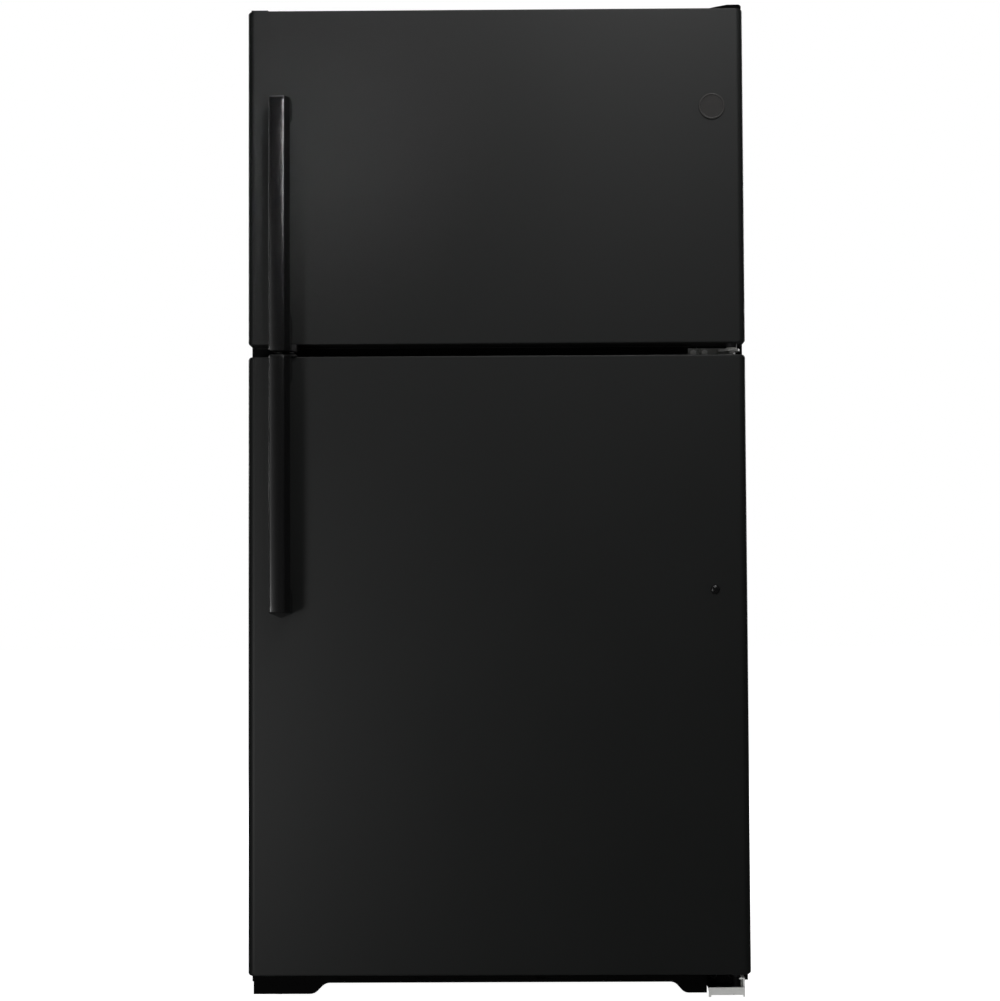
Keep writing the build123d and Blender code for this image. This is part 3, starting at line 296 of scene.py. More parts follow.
def painted_steel(name, tone, roughness, gloss=0.5):
    """Thin dark paint over pressed steel, rubbed on its edges."""
    finish = Finish(name, Specular_IOR_Level=gloss)
    peel = finish.noise(260.0, 3.0)
    rub = finish.edge(0.0012) * finish.noise(90.0, 3.0)
    clamped = {"operation": "MULTIPLY", "use_clamp": True}
    share = finish.node("ShaderNodeMath", clamped, {0: rub, 1: 2.0})
    finish.set(Base_Color=finish.blend(share, grey(tone, 1.02), rgb(0.3, 0.3, 0.31)))
    finish.set(Roughness=roughness + peel * 0.12)
    finish.bump(peel, 0.0001, 0.3)
    return finish.material


def galvanised():
    """Zinc-coated sheet with its spangle."""
    finish = Finish("galvanised_sheet", Metallic=1.0)
    spangle = finish.cells(85.0, "F1", output=1)
    shade = finish.node("ShaderNodeRGBToBW", inputs={0: spangle})
    grime = finish.noise(9.0, 4.0)
    finish.set(Base_Color=finish.blend(shade, rgb(0.42, 0.43, 0.44), rgb(0.6, 0.61, 0.62)))
    finish.set(Roughness=0.34 + shade * 0.14 + grime * 0.12)
    finish.bump(shade, 0.00005, 0.25)
    return finish.material


def zinc_plate(name="bright_zinc_plate", dark=(0.62, 0.62, 0.6), light=(0.86, 0.86, 0.84)):
    """Plating of the lower hinge, the legs and the screws."""
    finish = Finish(name, Metallic=0.35)
    cloud = finish.noise(60.0, 4.0)
    press = finish.noise(700.0, 2.0, (1.0, 0.2, 1.0))
    finish.set(Base_Color=finish.blend(cloud, rgb(*dark), rgb(*light)))
    finish.set(Roughness=0.22 + cloud * 0.14)
    finish.bump(press, 0.00006, 0.4)
    return finish.material


def foam_finish():
    """Open-celled edge of sprayed insulation."""
    finish = Finish("insulation_foam", Roughness=0.9)
    cells = finish.cells(420.0)
    finish.set(Base_Color=finish.blend(cells, rgb(0.62, 0.5, 0.24), rgb(0.86, 0.76, 0.48)))
    finish.bump(cells, 0.0012, 0.6)
    return finish.material


def white_plastic(name, tone=(0.78, 0.79, 0.79), roughness=0.3, grain=0.0):
    """Vacuum-formed or moulded white plastic with a slight waviness."""
    finish = Finish(name, Specular_IOR_Level=0.5)
    wave = finish.noise(11.0, 2.0)
    fine = finish.noise(800.0, 2.0)
    finish.set(Base_Color=finish.blend(wave, shade_of(tone, 0.96), rgb(*tone)))
    finish.set(Roughness=roughness + fine * 0.1)
    finish.bump(wave * 0.6 + fine * grain, 0.0004, 0.15)
    return finish.material


def clear_plastic(name, tint=(0.93, 0.96, 0.97), cover=0.36):
    """Clear polystyrene with faint flow marks."""
    finish = Finish(name, Specular_IOR_Level=0.6, IOR=1.5)
    flow = finish.noise(16.0, 3.0, (1.0, 1.0, 0.3))
    finish.set(Base_Color=finish.blend(flow, rgb(*tint), shade_of(tint, 0.94)))
    finish.set(Roughness=0.06 + flow * 0.08, Alpha=cover + flow * 0.08)
    finish.bump(flow, 0.0003, 0.1)
    return finish.material


def shelf_glass():
    """Tempered glass, greener where it is cut."""
    finish = Finish("shelf_glass", Specular_IOR_Level=0.7, IOR=1.52)
    rim = finish.edge(0.004)
    smear = finish.noise(14.0, 4.0)
    finish.set(Base_Color=finish.blend(rim, rgb(0.8, 0.9, 0.87), rgb(0.2, 0.5, 0.4)))
    finish.set(Roughness=0.03 + smear * 0.05, Alpha=0.2 + rim * 0.6)
    return finish.material


def rubber(name, tone, roughness=0.62):
    """Soft vinyl or rubber with a dull bloom."""
    finish = Finish(name, Specular_IOR_Level=0.35)
    bloom = finish.noise(70.0, 4.0)
    fine = finish.noise(1300.0, 1.0)
    finish.set(Base_Color=finish.blend(bloom, grey(tone), grey(tone * 1.5)))
    finish.set(Roughness=roughness + bloom * 0.15)
    finish.bump(fine, 0.0001, 0.3)
    return finish.material


def bare_metal(name, tone, roughness, lines=(1.0, 1.0, 1.0)):
    """Drawn or rolled metal with fine lines along one direction."""
    finish = Finish(name, Metallic=1.0)
    grain = finish.noise(600.0, 3.0, lines)
    dull = finish.noise(24.0, 4.0)
    finish.set(Base_Color=finish.blend(dull, shade_of(tone, 0.85), rgb(*tone)))
    finish.set(Roughness=roughness + grain * 0.12)
    finish.bump(grain, 0.00005, 0.5)
    return finish.material


def badge_metal(name, dark, light):
    """Fine blasted dark nickel of the badge."""
    finish = Finish(name, Metallic=0.55)
    blast = finish.noise(2600.0, 2.0)
    cloud = finish.noise(120.0, 2.0)
    finish.set(Base_Color=finish.blend(cloud, rgb(*dark), rgb(*light)))
    finish.set(Roughness=0.42 + blast * 0.12)
    finish.bump(blast, 0.00006, 0.5)
    return finish.material


def lamp_plastic():
    """Frosted lamp cover."""
    finish = Finish("frosted_lamp_cover", IOR=1.49)
    frost = finish.noise(1800.0, 2.0)
    finish.set(Base_Color=finish.blend(frost, rgb(0.85, 0.85, 0.82), rgb(0.97, 0.97, 0.95)))
    finish.set(Roughness=0.35 + frost * 0.15, Alpha=0.72 + frost * 0.1)
    finish.bump(frost, 0.0001, 0.5)
    return finish.material


FINISHES = {}


def finish_of(key):
    """The material of one finish, made once."""
    if key not in FINISHES:
        sizes = bpy.context.scene.fridge
        makers = {
            "door": lambda: door_paint(sizes),
            "case": lambda: case_paint(sizes),
            "gloss": lambda: glossy_black(sizes),
            "moulded": lambda: moulded_black("moulded_black_plastic", 0.006),
            "grille": lambda: moulded_black("grille_plastic", 0.001, 0.06),
            # Dark, dull rail paint of the rails and base; the same finish is painted shade on
            # the front frame in the door gaps, the lower hinge's rear plate and the base's
            # screws and washers.
            "rail_and_shade": lambda: painted_steel("rail_paint_and_painted_shade", 0.0015, 0.55, 0.12),
            "hinge": lambda: painted_steel("hinge_paint", 0.03, 0.38),
            "zinc": zinc_plate,
            "plate": lambda: zinc_plate(
                "dull_hinge_plate", (0.3, 0.3, 0.29), (0.42, 0.42, 0.41)
            ),
            "sheet": galvanised,
            "foam": foam_finish,
            "liner": lambda: white_plastic("liner_plastic", grain=0.25),
            "white": lambda: white_plastic("fitting_plastic", (0.82, 0.82, 0.81), 0.26),
            "wire": lambda: white_plastic("wire_coating", (0.8, 0.81, 0.81), 0.22),
            "clear": lambda: clear_plastic("clear_bin_plastic"),
            "crisper": lambda: clear_plastic("crisper_plastic", (0.9, 0.94, 0.95), 0.42),
            "glass": shelf_glass,
            "gasket": lambda: rubber("gasket_vinyl", 0.03),
            "rubber": lambda: rubber("black_rubber", 0.012),
            "fins": lambda: bare_metal(
                "coil_aluminium", (0.8, 0.81, 0.82), 0.28, (1.0, 1.0, 6.0)
            ),
            "coil": lambda: painted_steel("coil_paint", 0.012, 0.4),
            "can": lambda: painted_steel("compressor_enamel", 0.01, 0.22),
            "motor": lambda: bare_metal("motor_steel", (0.5, 0.5, 0.5), 0.35),
            # Known fault: this number was meant as the grain, and makes the fans mirror-bright.
            "fan": lambda: moulded_black("fan_plastic", 0.05, gloss=2200.0),
            "nylon": lambda: white_plastic("roller_nylon", (0.55, 0.54, 0.5), 0.5, 0.6),
            "badge": lambda: badge_metal(
                "badge_nickel", (0.044, 0.043, 0.042), (0.056, 0.054, 0.052)
            ),
            "badge_face": lambda: badge_metal(
                "badge_face_nickel", (0.02, 0.019, 0.0185), (0.03, 0.0285, 0.0275)
            ),
            "lamp": lamp_plastic,
        }
        FINISHES[key] = makers[key]()
    return FINISHES[key]


# ---------------------------------------------------------------- mesh helpers


def object_from(name, bm, finish, body, smooth_angle):
    """Link a finished mesh, shade it, give it its material and ride it on its body."""
    mesh = bpy.data.meshes.new(name)
    bmesh.ops.recalc_face_normals(bm, faces=bm.faces)
    limit = math.radians(smooth_angle)
    for edge in bm.edges:
        edge.smooth = len(edge.link_faces) == 2 and edge.calc_face_angle(0.0) < limit
    for face in bm.faces:
        face.smooth = True
    bm.to_mesh(mesh)
    bm.free()
    piece = bpy.data.objects.new(name, mesh)
    bpy.context.scene.collection.objects.link(piece)
    mesh.materials.append(finish_of(finish))
    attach(piece, body)
    return piece


def loft(bm, rings, closed=True, caps=(True, True)):
    """Skin a list of equal rings of points; each ring is closed unless told otherwise."""
    made = [[bm.verts.new(point) for point in ring] for ring in rings]
    count = len(made[0])
    last = count if closed else count - 1
    for low, high in zip(made, made[1:]):
        for i in range(last):
            j = (i + 1) % count
            bm.faces.new((low[i], low[j], high[j], high[i]))
    if caps[0]:
        bm.faces.new(list(reversed(made[0])))
    if caps[1]:
        bm.faces.new(made[-1])


def arc(centre, radius, start, end, steps):
    """Points on an arc in a plane, from one angle in degrees to another."""
    points = []
    for i in range(steps + 1):
        angle = math.radians(start + (end - start) * i / steps)
        across, up = radius * math.cos(angle), radius * math.sin(angle)
        points.append((centre[0] + across, centre[1] + up))
    return points


def turned(bm, profile, origin, axis, steps):
    """Turn a profile of (radius, along) points about an axis through the origin."""
    turn = Vector(axis).to_track_quat("Z", "Y").to_matrix().to_4x4()
    place = Matrix.Translation(origin) @ turn
    rings = []
    for radius, along in profile:
        ring = []
        for i in range(steps):
            angle = 2 * math.pi * i / steps
            across, up = radius * math.cos(angle), radius * math.sin(angle)
            ring.append(place @ Vector((across, up, along)))
        rings.append(ring)
    loft(bm, rings)


def dress(node, finish, bevel=0.0):
    """Give a CAD node its material and, where it is sharp, a softened edge."""
    part = NODES[node]
    part.data.materials.clear()
    part.data.materials.append(finish_of(finish))
    if bevel:
        weld = part.modifiers.new("weld", "WELD")
        weld.merge_threshold = WELD_REACH
        soften = part.modifiers.new("soft_edges", "BEVEL")
        soften.width = bevel
        soften.segments = 2
        soften.limit_method = "ANGLE"
        soften.angle_limit = math.radians(40.0)
        soften.harden_normals = True
        soften.use_clamp_overlap = True
    return part


def paint_where(part, finish, test):
    """Give a second finish to the faces whose middle passes a test."""
    part.data.materials.append(finish_of(finish))
    for face in part.data.polygons:
        corners = [part.data.vertices[i].co for i in face.vertices]
        if test(sum(corners, Vector()) / len(corners)):
            face.material_index = 1


# ---------------------------------------------------------------- settings


class FridgeSettings(bpy.types.PropertyGroup):
    """Sizes and colours that a user would change."""

    door_colour: bpy.props.FloatVectorProperty(
        name="Door colour",
        description="Enamel of both doors",
        default=(0.003, 0.0034, 0.0032),
        subtype="COLOR",
    )
    case_colour: bpy.props.FloatVectorProperty(
        name="Case colour",
        description="Enamel of the cabinet",
        default=(0.005, 0.005, 0.0052),
        subtype="COLOR",
    )
    door_roughness: bpy.props.FloatProperty(
        name="Door roughness",
        description="Dullness of the door enamel",
        default=0.5,
        min=0.05,
        max=1.0,
    )
    handle_roughness: bpy.props.FloatProperty(
        name="Handle roughness",
        description="Dullness of the handles",
        default=0.23,
        min=0.02,
        max=1.0,
    )
    fold_radius: bpy.props.FloatProperty(
        name="Fold radius",
        description="Radius of the door skin's folded top and bottom edges",
        default=0.0018,
        unit="LENGTH",
    )
    door_corner: bpy.props.FloatProperty(
        name="Door corner",
        description="Radius of the doors' four corners",
        default=0.005,
        unit="LENGTH",
    )
    handle_edge: bpy.props.FloatProperty(
        name="Handle edge",
        description="Rounding of the handles' edges",
        default=0.0018,
        unit="LENGTH",
    )
    handle_crown: bpy.props.FloatProperty(
        name="Handle crown",
        description="How far the handles' faces bulge",
        default=0.0006,
        unit="LENGTH",
    )


# ---------------------------------------------------------------- doors


def round_off(radius, depth):
    """How far a rounded edge has drawn in at a depth below its end."""
    return radius - math.sqrt(max(radius**2 - (radius - min(depth, radius)) ** 2, 0.0))


def door_plan(half, front, back, inset):
    """A door's plan outline, its front and back moved in by an inset."""
    radius = DOOR_EDGE - inset
    rear = DOOR_REAR_EDGE
    y = front + inset
    z = back - inset
    points = arc((-half + radius, y + radius), radius, 180.0, 270.0, 12)
    points += arc((half - radius, y + radius), radius, 270.0, 360.0, 12)
    points += arc((half - rear, z - rear), rear, 0.0, 90.0, 4)
    points += arc((-half + rear, z - rear), rear, 90.0, 180.0, 4)
    return points


def door_wrap(node, body):
    """The steel wrap of one door, with rounded corners and edges folded over the end caps."""
    sizes = bpy.context.scene.fridge
    low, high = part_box(node)
    fold = sizes.fold_radius
    corner = sizes.door_corner
    depths = [fold * (1 - math.cos(math.pi / 2 * i / 6)) for i in range(7)]
    depths += [fold + (corner - fold) * i / 5 for i in range(1, 6)]
    rim = fold + DOOR_RIM
    ends = [(depth, rim, corner + DOOR_RIM) for depth in (DOOR_HEM, 0.0)]
    ends += [(depth, round_off(fold, depth), round_off(corner, depth)) for depth in depths]
    stations = [(low[2] + depth, inset, side) for depth, inset, side in ends]
    stations += [(high[2] - depth, inset, side) for depth, inset, side in reversed(ends)]
    rings = []
    for z, inset, side in stations:
        plan = door_plan(high[0] - side, low[1], high[1], inset)
        rings.append([(x, y, z) for x, y in plan])
    bm = bmesh.new()
    loft(bm, rings, caps=(False, False))
    wrap = object_from(f"{node}_wrap", bm, "door", body, 50.0)
    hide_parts(node)


class FRIDGE_OT_doors(bpy.types.Operator):
    """Build both door wraps and dress the doors' inner pieces."""

    bl_idname = "fridge.doors"
    bl_label = "Doors"

    def execute(self, context):
        for name in ("freezer", "fresh_food"):
            door_wrap(f"{name}_door_skin", f"{name}_door")
            dress(f"{name}_door_caps", "moulded", 0.0006)
            dress(f"{name}_door_foam", "foam")
            dress(f"{name}_door_liner", "liner", 0.0015)
            dress(f"{name}_door_bins", "clear", 0.0006)
            dress(f"{name}_handle_fasteners", "zinc", 0.0004)
        return {"FINISHED"}


# ---------------------------------------------------------------- gaskets


def gasket(node, body):
    """A door seal: a magnet bulb on a folded bellows, mitred at its corners."""
    low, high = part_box(node)
    depth = high[1] - low[1]
    corners = [(-1, -1), (1, -1), (1, 1), (-1, 1)]
    bm = bmesh.new()
    rings = []
    for sx, sz in corners:
        ring = []
        for across, share in SEAL_SECTION:
            x = high[0] - across if sx > 0 else low[0] + across
            z = high[2] - across if sz > 0 else low[2] + across
            ring.append((x, low[1] + depth * share, z))
        rings.append(ring)
    rings.append(rings[0])
    loft(bm, rings, caps=(False, False))
    bmesh.ops.remove_doubles(bm, verts=bm.verts, dist=WELD_REACH)
    seal = object_from(f"{node}_seal", bm, "gasket", body, 60.0)
    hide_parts(node)


class FRIDGE_OT_gaskets(bpy.types.Operator):
    """Build the two magnetic door seals."""

    bl_idname = "fridge.gaskets"
    bl_label = "Door gaskets"

    def execute(self, context):
        for name in ("freezer", "fresh_food"):
            gasket(f"{name}_door_gasket", f"{name}_door")
        return {"FINISHED"}


# ---------------------------------------------------------------- handles


def handle_section(left, right, front, back, scale, inset=0.0):
    """A handle's cross-section: crowned face, slanted right facet and rounded edges."""
    sizes = bpy.context.scene.fridge
    edge = sizes.handle_edge * scale
    left = left + inset
    right = right - inset
    front = front + inset
    facet = HANDLE_FACET * scale
    drop = min(HANDLE_FACET_DEPTH, (back - front) * 0.6)
    crown = sizes.handle_crown * scale
    slope = math.atan2(drop, facet)
    corner = right - facet
    points = [(left, back)]
    points += arc((left + edge, front + crown + edge), edge, 180.0, 262.0, 6)
    reach = corner - edge - (left + edge)
    for i in range(1, 8):
        share = i / 8
        points.append((left + edge + reach * share, front + crown * (2 * share - 1) ** 2))
    tilt = math.degrees(slope)
    centre = (corner - edge * 0.6, front + crown + edge)
    points += arc(centre, edge, 278.0, 270.0 + tilt, 6)
    points.append((right - facet * 0.4, front + crown + drop * 0.6))
    centre = (right - edge * 0.6, front + crown + drop)
    points += arc(centre, edge * 0.6, tilt - 90.0, 0.0, 4)
    points.append((right, back))
    return points


def handle(node, body, sense, lags):
    """One bar handle, lofted from its end at the door gap.

    The lags are how far the end's face stands back from the gap, at its front and at the door.
    """
    sizes = bpy.context.scene.fridge
    low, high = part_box(node)
    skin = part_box(f"{body}_skin")
    door = skin[0][1]
    left = low[0]
    right = left + HANDLE_WIDTH
    length = high[2] - low[2]
    grip = door - HANDLE_GRIP
    start = low[2] if sense > 0 else high[2]
    edge = sizes.handle_edge
    nose = length - HANDLE_NOSE
    door_edge = (skin[0][2] if sense > 0 else skin[1][2]) - start
    feet = ((abs(door_edge) + HANDLE_FOOT, 1.0), (length - HANDLE_FOOT, -1.0))
    stations = [edge * (1 - math.cos(math.pi / 2 * i / 5)) for i in range(6)]
    stations += [edge + (feet[0][0] - edge) * i / 5 for i in range(1, 6)]
    stations += [feet[0][0] + HANDLE_RUN * i / 8 for i in range(1, 9)]
    middle = (stations[-1], feet[1][0] - HANDLE_RUN)
    stations += [middle[0] + (middle[1] - middle[0]) * i / 24 for i in range(1, 24)]
    stations += [middle[1] + HANDLE_RUN * i / 8 for i in range(0, 9)]
    stations += [nose + step for step in HANDLE_NOSE_STATIONS] + [length]
    tip = (left + right) / 2 - HANDLE_TIP_SHIFT
    rings = []
    for along in stations:
        share = along / nose
        front = low[1] + HANDLE_BOW * min(1.0, (2 * share - 1) ** 2)
        fall = max(0.0, (along - nose) / HANDLE_NOSE)
        near = 0.0 if fall else max(0.0, 1.0 + (along - nose) / HANDLE_NOSE_SOFT_RUN)
        front += (door - HANDLE_DOOR_GAP - front) * fall + near**2 * HANDLE_NOSE_SOFT
        narrow = fall * HANDLE_NOSE_TAPER
        x0 = left + (tip - left) * narrow
        x1 = right + (tip - right) * narrow
        foot = 0.0
        for place, way in feet:
            t = min(max((along - place) * way / HANDLE_RUN, 0.0), 1.0)
            foot = max(foot, 1.0 - t * t * (3 - 2 * t))
        back = grip + (door - grip) * foot
        scale = max(0.05, 1.0 - narrow)
        ring = handle_section(x0, x1, front, back, scale, round_off(edge, along))
        fade = max(0.0, 1.0 - along / HANDLE_FOOT)
        points = []
        for x, y in ring:
            depth = (y - low[1]) / (door - low[1])
            lag = (lags[0] + (lags[1] - lags[0]) * depth) * fade
            points.append((x, y, start + sense * (along + lag)))
        rings.append(points)
    bm = bmesh.new()
    loft(bm, rings)
    bar = object_from(f"{node}_bar", bm, "gloss", body, 42.0)
    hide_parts(node)
    tab_end = start + sense * lags[1]
    handle_tab(node, body, (low, high), door, sorted((tab_end, start + door_edge)))


def handle_tab(node, body, box, door, z):
    """The tab that wraps the door's edge; its screws stand a hair proud of it."""
    low, high = box
    front = TAB_FRONT_RADIUS
    rear = TAB_REAR_RADIUS
    levels = [(z[0] + TAB_FACE, TAB_RIM), (z[0] + TAB_RIM, 0.0)]
    levels += [(z[1] - TAB_RIM, 0.0), (z[1] - TAB_FACE, TAB_RIM)]
    rings = []
    for level, inset in levels:
        x0 = low[0] + inset
        x1 = high[0] - inset
        y0 = door - TAB_DEPTH
        y1 = high[1] - inset
        points = arc((x0 + front, y0 + front), front, 180.0, 270.0, 4)
        points += arc((x1 - front, y0 + front), front, 270.0, 360.0, 4)
        points += arc((x1 - rear, y1 - rear), rear, 0.0, 90.0, 6)
        points += arc((x0 + rear, y1 - rear), rear, 90.0, 180.0, 6)
        rings.append([(x, y, level) for x, y in points])
    bm = bmesh.new()
    loft(bm, rings)
    object_from(f"{node}_tab", bm, "moulded", body, 40.0)


class FRIDGE_OT_handles(bpy.types.Operator):
    """Build the two bar handles."""

    bl_idname = "fridge.handles"
    bl_label = "Handles"

    def execute(self, context):
        handle("freezer_handle", "freezer_door", 1, (0.0, 4.5 * MM))
        handle("fresh_food_handle", "fresh_food_door", -1, (5.5 * MM, 0.0))
        return {"FINISHED"}


# ---------------------------------------------------------------- trim


def round_trim(node):
    """Where a round trim piece meets its door, its radius and how far it stands out."""
    low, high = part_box(node)
    centre = ((low[0] + high[0]) / 2, high[1], (low[2] + high[2]) / 2)
    return centre, (high[0] - low[0]) / 2, high[1] - low[1]


class FRIDGE_OT_trim(bpy.types.Operator):
    """Build the plain badge and the plug button."""

    bl_idname = "fridge.trim"
    bl_label = "Badge and plug"

    def execute(self, context):
        centre, radius, rise = round_trim("badge")
        profile = [(radius * across, rise * out) for across, out in BADGE_PROFILE]
        profile.append((0.4 * MM, rise * 0.56))
        bm = bmesh.new()
        turned(bm, profile, centre, (0, -1, 0), 64)
        disc = object_from("badge_disc", bm, "badge", "freezer_door", 50.0)
        middle = Vector(centre)
        face = radius * BADGE_FACE
        paint_where(disc, "badge_face", lambda place: (place - middle).length < face)
        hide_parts("badge")

        centre, radius, stem = round_trim("plug_button")
        seat = stem - PLUG_HEAD
        rim = seat + PLUG_RIM
        profile = [(PLUG_STEM, 0.0), (PLUG_STEM, seat), (radius * 0.98, seat), (radius, rim)]
        for i in range(1, 9):
            angle = math.pi / 2 * i / 9
            profile.append((radius * math.cos(angle), rim + PLUG_DOME * math.sin(angle)))
        bm = bmesh.new()
        turned(bm, profile, centre, (0, -1, 0), 40)
        cap = object_from("plug_button_cap", bm, "gloss", "fresh_food_door", 50.0)
        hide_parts("plug_button")
        return {"FINISHED"}


# ---------------------------------------------------------------- cabinet


class FRIDGE_OT_cabinet(bpy.types.Operator):
    """Dress the cabinet's sheets, liners and foam."""

    bl_idname = "fridge.cabinet"
    bl_label = "Cabinet"

    def execute(self, context):
        shell = dress("cabinet_shell", "case")
        # Painted shade: the front frame gets the darker, duller rail paint so that the door
        # gaps read black.
        paint_where(shell, "rail_and_shade", lambda place: place.y < FRONT_FRAME_SHADE_Y)
        dress("rear_panel", "sheet")
        dress("floor_panel", "rail_and_shade")
        dress("base_pan", "sheet")
        dress("cabinet_foam", "foam")
        dress("center_rail", "rail_and_shade", 0.0008)
        dress("freezer_liner", "liner", 0.0008)
        dress("fresh_food_liner", "liner", 0.0008)
        dress("rear_access_cover", "moulded", 0.0004)
        dress("cord_gland", "rubber", 0.0005)
        return {"FINISHED"}


class FRIDGE_OT_hinges(bpy.types.Operator):
    """Dress the three hinges, their cover and their screws."""

    bl_idname = "fridge.hinges"
    bl_label = "Hinges and screws"

    def execute(self, context):
        dress("top_hinge", "hinge", 0.0005)
        dress("top_hinge_cover", "grille", 0.0012)
        dress("center_hinge", "plate", 0.0006)
        hinge = dress("bottom_hinge", "zinc", 0.0006)
        # Painted shade: the lower hinge's rear plate is painted dark where it sits in shade
        # under the door.
        paint_where(
            hinge, "rail_and_shade", lambda place: place.y > HINGE_SHADE_Y and place.x < HINGE_SHADE_X
        )
        washers = dress("hinge_thrust_washers", "nylon", 0.0003)
        # Painted shade: the lower washers are painted dark where they sit in shade under the
        # door.
        paint_where(washers, "rail_and_shade", lambda place: place.z < BASE_WASHER_SHADE_Z)
        screws = dress("cabinet_screws", "zinc", 0.0006)
        # Painted shade: the screws at the base's front are painted dark where they sit in shade
        # under the door.
        paint_where(screws, "rail_and_shade", lambda place: place.z < BASE_SCREWS_SHADE_Z and place.y < 0)
        return {"FINISHED"}


class FRIDGE_OT_base(bpy.types.Operator):
    """Dress the toe grille, the legs and the rollers."""

    bl_idname = "fridge.base"
    bl_label = "Grille, legs and rollers"

    def execute(self, context):
        dress("toe_grille", "grille", 0.0006)
        for side in ("left", "right"):
            dress(f"{side}_leg", "zinc", 0.0006)
            dress(f"{side}_roller", "nylon", 0.0005)
        dress("roller_axles", "zinc", 0.0005)
        return {"FINISHED"}


class FRIDGE_OT_machine(bpy.types.Operator):
    """Dress the cooling system."""

    bl_idname = "fridge.machine"
    bl_label = "Cooling system"

    def execute(self, context):
        dress("compressor", "can", 0.0008)
        dress("condenser_coil", "coil")
        dress("condenser_fan_motor", "motor", 0.0006)
        dress("condenser_fan_blade", "fan", 0.0004)
        dress("evaporator_coil", "fins")
        dress("evaporator_fan_motor", "motor", 0.0006)
        dress("evaporator_fan_blade", "fan", 0.0004)
        dress("evaporator_cover", "white", 0.0008)
        return {"FINISHED"}


class FRIDGE_OT_fittings(bpy.types.Operator):
    """Dress the shelves, drawers, control and lamp."""

    bl_idname = "fridge.fittings"
    bl_label = "Food compartment fittings"

    def execute(self, context):
        dress("control_housing", "white", 0.0012)
        dress("temperature_dial", "white", 0.0008)
        dress("light_lens", "lamp", 0.0006)
        dress("switch_plunger", "white", 0.0006)
        dress("shelf_frames", "white", 0.0012)
        dress("glass_panels", "glass", 0.0006)
        dress("crisper_cover_frame", "white", 0.001)
        dress("freezer_shelf", "wire")
        for side in ("left", "right"):
            dress(f"{side}_crisper", "crisper", 0.0007)
            dress(f"{side}_humidity_slider", "white", 0.0008)
        return {"FINISHED"}


# ---------------------------------------------------------------- stage


def studio_world():
    """A surround that looks white and lights dimly: the softboxes do the lighting."""
    world = bpy.data.worlds.new("studio")
    world.use_nodes = True
    bpy.context.scene.world = world
    tree = world.node_tree
    dim = tree.nodes["Background"]
    white = tree.nodes.new("ShaderNodeBackground")
    for surround, strength in ((dim, SURROUND_GLOW), (white, 1.0)):
        surround.inputs["Color"].default_value = rgb(1.0, 1.0, 1.0)
        surround.inputs["Strength"].default_value = strength
    ray = tree.nodes.new("ShaderNodeLightPath")
    choose = tree.nodes.new("ShaderNodeMixShader")
    tree.links.new(ray.outputs["Is Camera Ray"], choose.inputs[0])
    tree.links.new(dim.outputs[0], choose.inputs[1])
    tree.links.new(white.outputs[0], choose.inputs[2])
    tree.links.new(choose.outputs[0], tree.nodes["World Output"].inputs["Surface"])


def softbox(name, place, target, size, power, spread):
    """A soft rectangular light aimed at a point."""
    data = bpy.data.lights.new(name, "AREA")
    data.shape = "RECTANGLE"
    data.size = size[0]
    data.size_y = size[1]
    data.energy = power
    data.spread = math.radians(spread)
    light = bpy.data.objects.new(name, data)
    light.location = place
    light.rotation_mode = "QUATERNION"
    light.rotation_quaternion = (Vector(target) - Vector(place)).to_track_quat("-Z", "Y")
    bpy.context.scene.collection.objects.link(light)


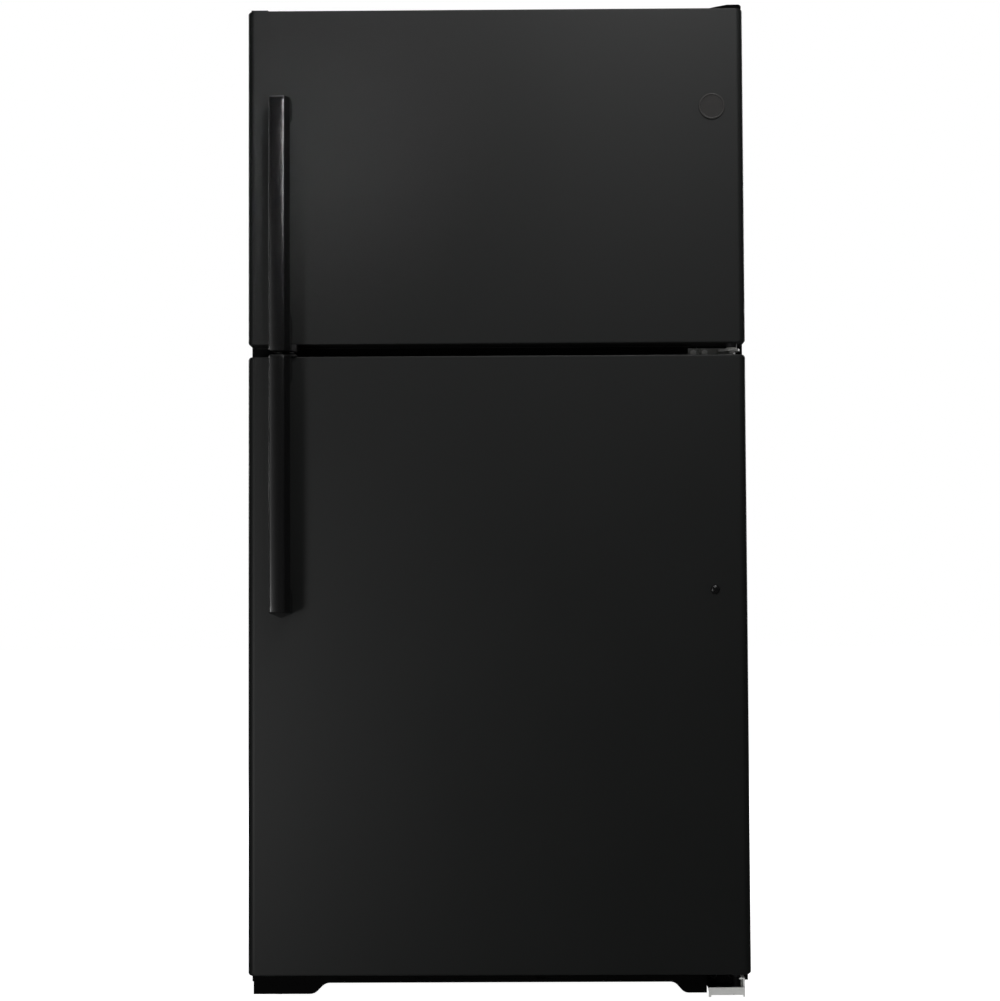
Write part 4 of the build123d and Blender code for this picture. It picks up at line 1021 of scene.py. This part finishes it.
def studio_floor():
    """White paper under the object, bright enough to read as white all over."""
    rows = (-FLOOR_REACH, 0.0, FLOOR_REACH)
    rings = [[(-FLOOR_REACH, y, 0.0), (FLOOR_REACH, y, 0.0)] for y in rows]
    bm = bmesh.new()
    loft(bm, rings, closed=False, caps=(False, False))
    mesh = bpy.data.meshes.new("studio_floor")
    bm.to_mesh(mesh)
    bm.free()
    floor = bpy.data.objects.new("studio_floor", mesh)
    bpy.context.scene.collection.objects.link(floor)
    paper = Finish("studio_paper", Roughness=0.95, Specular_IOR_Level=0.0)
    grain = paper.noise(90.0, 3.0)
    paper.set(Base_Color=paper.blend(grain, rgb(0.86, 0.86, 0.86), rgb(0.9, 0.9, 0.9)))
    paper.set(Emission_Color=rgb(1.0, 1.0, 1.0), Emission_Strength=1.0)
    mesh.materials.append(paper.material)
    floor.visible_glossy = False


class FRIDGE_OT_stage(bpy.types.Operator):
    """Set up the white floor and surround, the lights and the camera."""

    bl_idname = "fridge.stage"
    bl_label = "Stage, lights and camera"

    def execute(self, context):
        scene = context.scene
        studio_floor()
        studio_world()
        for light in SOFTBOXES:
            softbox(*light)
        data = bpy.data.cameras.new("view")
        data.lens = CAMERA_LENS
        data.sensor_width = CAMERA_SENSOR
        camera = bpy.data.objects.new("view", data)
        camera.location = CAMERA_PLACE
        camera.rotation_euler = [math.radians(turn) for turn in CAMERA_TURN]
        scene.collection.objects.link(camera)
        scene.camera = camera
        scene.view_settings.view_transform = "Standard"
        return {"FINISHED"}


# ---------------------------------------------------------------- panel and registration


class FRIDGE_PT_panel(bpy.types.Panel):
    """Sidebar panel with the settings and the build steps."""

    bl_idname = "FRIDGE_PT_panel"
    bl_label = "Refrigerator"
    bl_space_type = "VIEW_3D"
    bl_region_type = "UI"
    bl_category = "Refrigerator"

    def draw(self, context):
        column = self.layout.column()
        sizes = context.scene.fridge
        for key in FridgeSettings.__annotations__:
            column.prop(sizes, key)
        for step in STEPS:
            column.operator(step.bl_idname)


STEPS = [
    FRIDGE_OT_stage,
    FRIDGE_OT_cabinet,
    FRIDGE_OT_doors,
    FRIDGE_OT_gaskets,
    FRIDGE_OT_handles,
    FRIDGE_OT_trim,
    FRIDGE_OT_hinges,
    FRIDGE_OT_base,
    FRIDGE_OT_machine,
    FRIDGE_OT_fittings,
]
CLASSES = [FridgeSettings, *STEPS, FRIDGE_PT_panel]


def register():
    for item in CLASSES:
        bpy.utils.register_class(item)
    bpy.types.Scene.fridge = bpy.props.PointerProperty(type=FridgeSettings)


def unregister():
    del bpy.types.Scene.fridge
    for item in reversed(CLASSES):
        bpy.utils.unregister_class(item)


def main():
    register()
    for step in STEPS:
        group, name = step.bl_idname.split(".")
        getattr(getattr(bpy.ops, group), name)()


if __name__ == "__main__":
    main()
